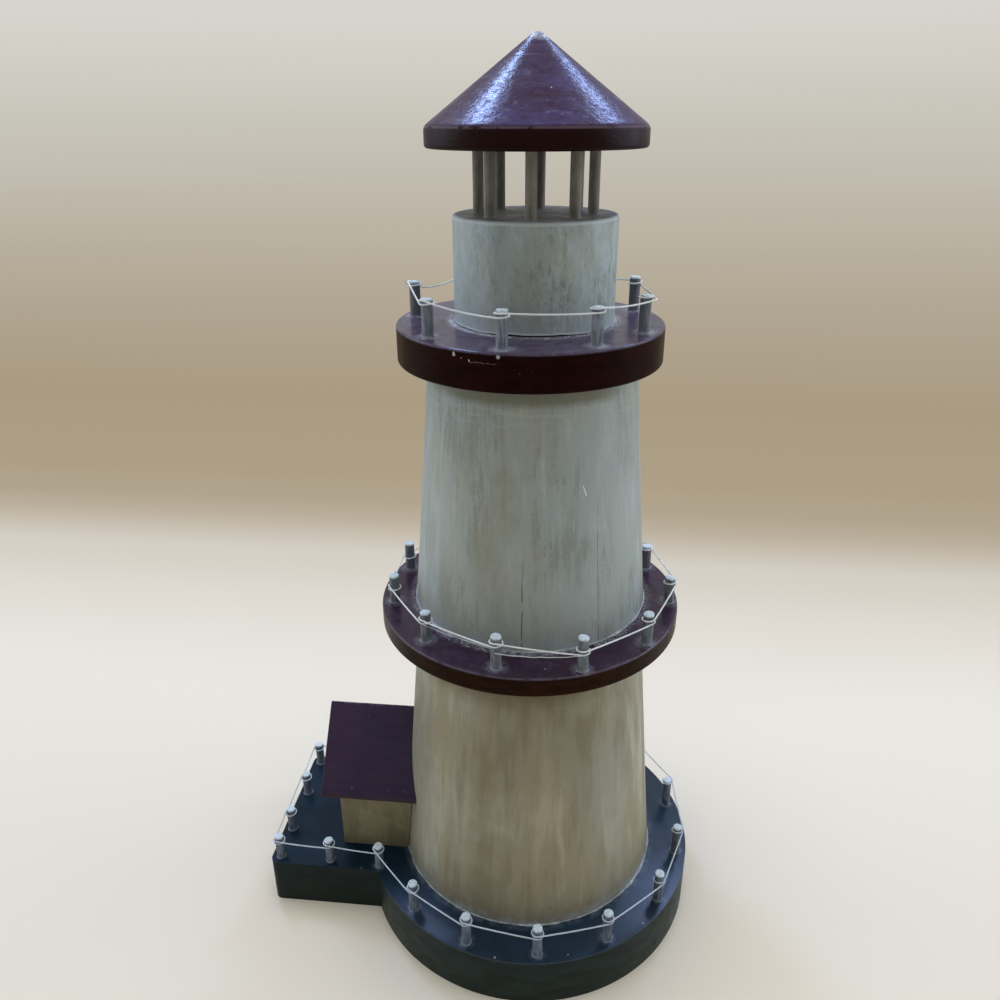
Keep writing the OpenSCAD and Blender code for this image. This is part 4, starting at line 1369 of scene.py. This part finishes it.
class ORNAMENT_OT_posts(bpy.types.Operator):
    """Model one railing post and stand a copy of it, each a little different, at every place"""
    bl_idname = "ornament.posts"
    bl_label = "Railing posts"

    def execute(self, context):
        s, c = context.scene.ornament_sizes, context.scene.ornament_colours
        chance = random.Random(7)
        radius = radius_of("upper_post_1")
        length = 14 * MM
        template = model_dowel(radius, length, s.post_depth, s.post_edge)
        smeared = {"upper_post_1": 0.6, "upper_post_2": 0.25, "upper_post_5": 0.35, "upper_post_6": 0.75,
                   "upper_post_7": 0.4, "middle_post_1": 0.4, "middle_post_8": 0.5, "base_post_7": 0.2}
        # The rows share one wash in three tones; the middle and base rows are painted darker as painted
        # shade
        for row, shade in (("upper", (1, 1.08, 1.16)), ("middle", (0.82, 0.86, 0.89)),
                           ("base", (0.66, 0.77, 0.92))):
            paint = dowel_material(row.title() + " post wash", toned(c.post, shade), c.post_end,
                                   (0.34, 0.37, 0.43), (0.085, 0.06, 0.08), 0.42)
            nodes = numbered(row + "_post_")
            for node, spot in zip(nodes, post_spots(nodes)):
                piece = stand_dowel(template, "railing_" + node, spot, s.post_depth, length, s.collar, 1.0,
                                    chance, smeared.get(node, 0.0))
                dress(piece, paint, [node])
        for i, spot in enumerate(wing_spots(radius)):
            name = f"railing_wing_post_{i + 1}"
            piece = stand_dowel(template, name, spot, s.post_depth, length, s.collar, 1.0, chance)
            dress(piece, paint, ["wing_posts"])
        bpy.data.meshes.remove(template.data)
        return {"FINISHED"}


class ORNAMENT_OT_columns(bpy.types.Operator):
    """Model one lantern column and stand a copy of it at every place"""
    bl_idname = "ornament.columns"
    bl_label = "Lantern columns"

    def execute(self, context):
        s, c = context.scene.ornament_sizes, context.scene.ornament_colours
        chance = random.Random(11)
        paint = dowel_material("Column wash", c.column, c.column, (0.26, 0.26, 0.25), c.column, 0.16)
        length = 20 * MM
        template = model_dowel(radius_of("column_1"), length, s.column_depth, s.post_edge)
        nodes = numbered("column_")
        for node, spot in zip(nodes, post_spots(nodes)):
            piece = stand_dowel(template, "lantern_" + node, spot, s.column_depth, length, 0.4 * s.collar,
                                0.0, chance)
            dress(piece, paint, [node])
        bpy.data.meshes.remove(template.data)
        return {"FINISHED"}


class ORNAMENT_OT_strings(bpy.types.Operator):
    """Wind a twisted string round the posts of each railing"""
    bl_idname = "ornament.strings"
    bl_label = "Railing strings"

    def execute(self, context):
        s, c = context.scene.ornament_sizes, context.scene.ornament_colours
        white = string_material("Cotton string", c.string)
        aged = string_material("Aged string", c.string_aged)
        radius = radius_of("upper_post_1")
        wrap = radius + s.string / 2 + 0.05 * MM
        railings = (("upper", UPPER_DROPS, UPPER_SAGS, {4: 1.0 * MM}),
                    ("middle", MIDDLE_DROPS, [0.3] * len(MIDDLE_DROPS), {}),
                    ("base", BASE_DROPS, [0.3] * len(BASE_DROPS), {}))
        for name, drops, sags, loose in railings:
            spots = post_spots(numbered(f"{name}_post_"))
            if name == "base":
                spots += wing_spots(radius)
            levels = [spot[3] - drop * MM for spot, drop in zip(spots, drops)]
            route = string_route(spots, levels, [x * MM for x in sags], wrap, s.string_climb, loose)
            piece = string_piece(f"twisted_{name}_string", route, s, self.tails(name, spots, levels, wrap))
            dress(piece, aged if name == "base" else white, [f"{name}_string"])
        return {"FINISHED"}

    def slack(self, spots, levels, wrap, indices, sag, first):
        """A loose strand that hangs a little below the string, from one post to the next."""
        held = []
        for i, below in zip(indices, (first, 0.7 * MM)):
            x, y, _, _ = spots[i]
            away = Vector((x, y, 0)).normalized()
            held.append(Vector((x, y, levels[i] - below)) + away * wrap)
        a, b = held
        strand = []
        for k in range(25):
            share = k / 24
            wave = noise.noise(Vector((a.x * 300, a.y * 300, share * 9)))
            drop = sag * 4 * share * (1 - share) + 0.25 * wave * MM * math.sin(math.pi * share)
            strand.append(a.lerp(b, share) - Vector((0, 0, drop)))
        return strand

    def tails(self, name, spots, levels, wrap):
        """Loose strands and the short ends of a knot, each with its share of the string's size."""
        if name == "middle":
            return [(self.slack(spots, levels, wrap, (3, 4), 1.1 * MM, 2.6 * MM), 0.5),
                    (self.slack(spots, levels, wrap, (2, 3), 0.8 * MM, 0.7 * MM), 0.3)]
        index = 0 if name == "upper" else 14
        x, y, _, _ = spots[index]
        away = Vector((x, y, 0)).normalized()
        start = Vector((x, y, levels[index])) + away * wrap
        side = Vector((-away.y, away.x, 0))
        ends = []
        for way, up in ((1, 0.9), (-1, -0.5)):
            end = [start + away * out * MM + side * way * across * MM + Vector((0, 0, up * rise * MM))
                   for out, across, rise in ((0, 0.1, 0), (0.4, 0.3, 0), (0.7, 0.6, 0.5), (0.9, 0.7, 1.1))]
            ends.append((end, 0.7))
        return ends


class ORNAMENT_OT_glue(bpy.types.Operator):
    """Lay the dried glue round the feet of the tower and drum, with crumbs of paint"""
    bl_idname = "ornament.glue"
    bl_label = "Glue and crumbs"

    def execute(self, context):
        s = context.scene.ornament_sizes
        glue, bare = plain_materials(context.scene.ornament_colours)
        for node, seed, thick in (("lower_tower", 3.0, 1.0), ("upper_tower", 8.0, 0.85),
                                  ("lantern_drum", 5.0, 0.75)):
            centre = centre_of(node)
            ring = bead_ring(f"glue_round_{node}", centre, radius_of(node) + 0.1 * MM,
                             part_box(node)[0].z + 0.1 * MM, s.bead * thick, seed,
                             gap=DRUM_GAP if node == "lantern_drum" else None)
            dress(ring, glue)
        chance = random.Random(5)
        seeds = []
        for node, count, spread in (("lantern_drum", 150, 3.2), ("upper_tower", 110, 2.4)):
            centre, level = centre_of(node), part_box(node)[0].z
            for _ in range(count):
                a = chance.uniform(0, 2 * math.pi)
                r = radius_of(node) + abs(chance.gauss(0, 0.45)) * spread * MM + 0.3 * MM
                size_of = s.crumb * chance.uniform(0.25, 0.6)
                seeds.append(((centre.x + r * math.cos(a), centre.y + r * math.sin(a), level), size_of))
        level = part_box("lantern_drum")[0].z
        for x, y, r in ((21.0, -14.1, 1.5), (21.8, -12.9, 1.3), (22.4, -11.6, 1.7), (23.1, -10.6, 1.3),
                        (23.7, -9.2, 1.6), (24.3, -7.8, 1.3), (5.9, -23.6, 1.5), (22.9, -12.5, 1.1),
                        (24.8, -6.2, 1.1), (24.1, -10.4, 1.0), (25.2, -4.6, 0.9), (23.7, -8.0, 1.1),
                        (20.4, -15.3, 1.0)):
            seeds.append(((x * MM, y * MM, level), s.crumb * r))
        dress(crumbs("paint_crumbs", seeds, chance), glue)
        for node in ("base_dowel", "middle_dowel", "upper_dowel"):
            paint_node(node, bare)
        return {"FINISHED"}


class ORNAMENT_OT_stage(bpy.types.Operator):
    """Set up the camera, the floor, the background and the lights"""
    bl_idname = "ornament.stage"
    bl_label = "Stage"

    def camera(self, context, focal):
        data = bpy.data.cameras.new("camera")
        data.lens = focal
        camera = bpy.data.objects.new("camera", data)
        context.scene.collection.objects.link(camera)
        pitch, yaw, roll = (math.radians(a) for a in CAMERA_ANGLES)
        level = math.cos(pitch)
        forward = Vector((math.sin(yaw) * level, math.cos(yaw) * level, -math.sin(pitch)))
        right = forward.cross(Vector((0, 0, 1))).normalized()
        up = right.cross(forward)
        c, s = math.cos(roll), math.sin(roll)
        turned = Matrix((right * c + up * s, up * c - right * s, -forward)).transposed().to_4x4()
        camera.matrix_world = Matrix.Translation([x * MM for x in CAMERA_PLACE]) @ turned
        context.scene.camera = camera

    def lamp(self, context, name, at, aim, width, height, radiance, tint, mirrored=True):
        """A rectangular soft box of a given radiance that faces a point."""
        data = bpy.data.lights.new(name, "AREA")
        data.shape = "RECTANGLE"
        data.size, data.size_y = width, height
        data.energy = radiance * 4 * width * height
        data.color = tint
        lamp = bpy.data.objects.new(name, data)
        context.scene.collection.objects.link(lamp)
        at, aim = Vector(at), Vector(aim)
        turned = (aim - at).to_track_quat("-Z", "Y").to_matrix().to_4x4()
        lamp.matrix_world = Matrix.Translation(at) @ turned
        lamp.visible_camera = False
        lamp.visible_glossy = mirrored

    def seen_rays(self, t):
        """The rays that see the paper's own colours and not its light."""
        rays = t.add("ShaderNodeLightPath").outputs
        return t.any_of([rays["Is Camera Ray"], rays["Is Glossy Ray"], rays["Is Transmission Ray"]])

    def fill(self, ramp, stops):
        while len(ramp.elements) < len(stops):
            ramp.elements.new(0.5)
        for element, (position, tint) in zip(ramp.elements, stops):
            element.position = position
            element.color = (*tint, 1)

    def floor(self, tint):
        """A wide flat floor in its colour; farther out, the rays that see it get the paper's colours, so
        that it seems to rise into the paper at the back.
        """
        deselect()
        bpy.ops.mesh.primitive_circle_add(vertices=96, radius=4, fill_type="NGON",
                                          location=(0, 0, -0.05 * MM))
        floor = added("floor")
        material = bpy.data.materials.new("Floor paper")
        material.use_nodes = True
        t = Tree(material.node_tree)
        t.tree.nodes.clear()
        near = t.add("ShaderNodeBsdfDiffuse", {"Color": tint}).outputs[0]
        place = t.add("ShaderNodeTexCoord").outputs["Object"]
        away = t.math("MAXIMUM", t.split(place)[1], t.minus(t.vector("LENGTH", place), 0.75))
        share = t.math("DIVIDE", away, t.plus(away, 0.5))
        ramp = t.add("ShaderNodeValToRGB", {0: share})
        self.fill(ramp.color_ramp, (
            (0.29, (0.70, 0.66, 0.59)), (0.338, (0.66, 0.62, 0.56)), (0.357, (0.59, 0.54, 0.46)),
            (0.380, (0.50, 0.435, 0.34)), (0.405, (0.44, 0.37, 0.27)), (0.441, (0.42, 0.345, 0.243)),
            (0.551, (0.402, 0.325, 0.225)), (0.697, (0.44, 0.386, 0.296)), (0.856, (0.521, 0.479, 0.402)),
            (0.889, (0.533, 0.497, 0.423))))
        far = t.add("ShaderNodeEmission", {"Color": ramp.outputs[0], "Strength": 1.0}).outputs[0]
        factor = t.times(self.seen_rays(t), t.ramp(away, 0.09, 0.25))
        both = t.add("ShaderNodeMixShader", {0: factor, 1: near, 2: far}).outputs[0]
        t.add("ShaderNodeOutputMaterial", {"Surface": both})
        floor.data.materials.append(material)

    def world(self, context, strength):
        world = bpy.data.worlds.new("room")
        context.scene.world = world
        world.use_nodes = True
        t = Tree(world.node_tree)
        t.tree.nodes.clear()
        light = t.add("ShaderNodeBackground", {"Color": (1.0, 0.99, 0.97), "Strength": strength}).outputs[0]
        height = t.split(t.add("ShaderNodeTexCoord").outputs["Generated"])[2]
        ramp = t.add("ShaderNodeValToRGB", {0: t.plus(height, 0.1)})
        self.fill(ramp.color_ramp, (
            (0.035, (0.533, 0.497, 0.423)), (0.1, (0.578, 0.558, 0.497)), (0.153, (0.645, 0.624, 0.565)),
            (0.19, (0.672, 0.658, 0.610)), (0.6, (0.70, 0.69, 0.67))))
        paper = t.add("ShaderNodeBackground", {"Color": ramp.outputs[0], "Strength": 1.0}).outputs[0]
        both = t.add("ShaderNodeMixShader", {0: self.seen_rays(t), 1: light, 2: paper}).outputs[0]
        t.add("ShaderNodeOutputWorld", {"Surface": both})

    def execute(self, context):
        s = context.scene.ornament_stage
        self.camera(context, s.focal)
        self.floor(s.floor)
        self.world(context, s.room)
        crown = Vector((0.3 * MM, 0, 0.285))
        cool, blue = (0.72, 0.84, 1.0), (0.365, 0.52, 1.0)
        for name, off, share in (("back_left", (-0.397, 0.458, 0.795), 1.1),
                                 ("back_right", (0.35, 0.65, 0.675), 0.8)):
            self.lamp(context, name, crown + Vector(off), crown, 0.15, 0.2, s.lamp * share, blue)
        self.lamp(context, "side_left", (-0.95, 0.12, 0.5), (0, 0, 0.15), 0.8, 0.8, s.side * 0.75, cool)
        self.lamp(context, "side_right", (0.95, 0.2, 0.5), (0, 0, 0.15), 0.8, 0.8, s.side, cool)
        self.lamp(context, "top", (0, 0.1, 1.4), (0, 0, 0), 0.9, 0.9, s.top, (1.0, 0.97, 0.92), False)
        context.scene.view_settings.view_transform = "Standard"
        return {"FINISHED"}


OPERATORS = (
    ORNAMENT_OT_stage, ORNAMENT_OT_strings, ORNAMENT_OT_tower, ORNAMENT_OT_boards, ORNAMENT_OT_base,
    ORNAMENT_OT_house, ORNAMENT_OT_posts, ORNAMENT_OT_columns, ORNAMENT_OT_glue,
)


class ORNAMENT_PT_panel(bpy.types.Panel):
    """Steps and settings of the ornament"""
    bl_label = "Lighthouse"
    bl_idname = "ORNAMENT_PT_panel"
    bl_space_type = "VIEW_3D"
    bl_region_type = "UI"
    bl_category = "Lighthouse"

    def draw(self, context):
        for operator in OPERATORS:
            self.layout.operator(operator.bl_idname)
        scene = context.scene
        for group in (scene.ornament_sizes, scene.ornament_colours, scene.ornament_stage):
            box = self.layout.box()
            for name in group.__annotations__:
                box.prop(group, name)


CLASSES = (OrnamentSizes, OrnamentColours, StageSettings, *OPERATORS, ORNAMENT_PT_panel)


def register():
    for kind in CLASSES:
        bpy.utils.register_class(kind)
    bpy.types.Scene.ornament_sizes = PointerProperty(type=OrnamentSizes)
    bpy.types.Scene.ornament_colours = PointerProperty(type=OrnamentColours)
    bpy.types.Scene.ornament_stage = PointerProperty(type=StageSettings)


def unregister():
    del bpy.types.Scene.ornament_stage, bpy.types.Scene.ornament_colours, bpy.types.Scene.ornament_sizes
    for kind in reversed(CLASSES):
        bpy.utils.unregister_class(kind)


def main():
    register()
    for operator in OPERATORS:
        group, name = operator.bl_idname.split(".")
        getattr(getattr(bpy.ops, group), name)()
    deselect()


if __name__ == "__main__":
    main()
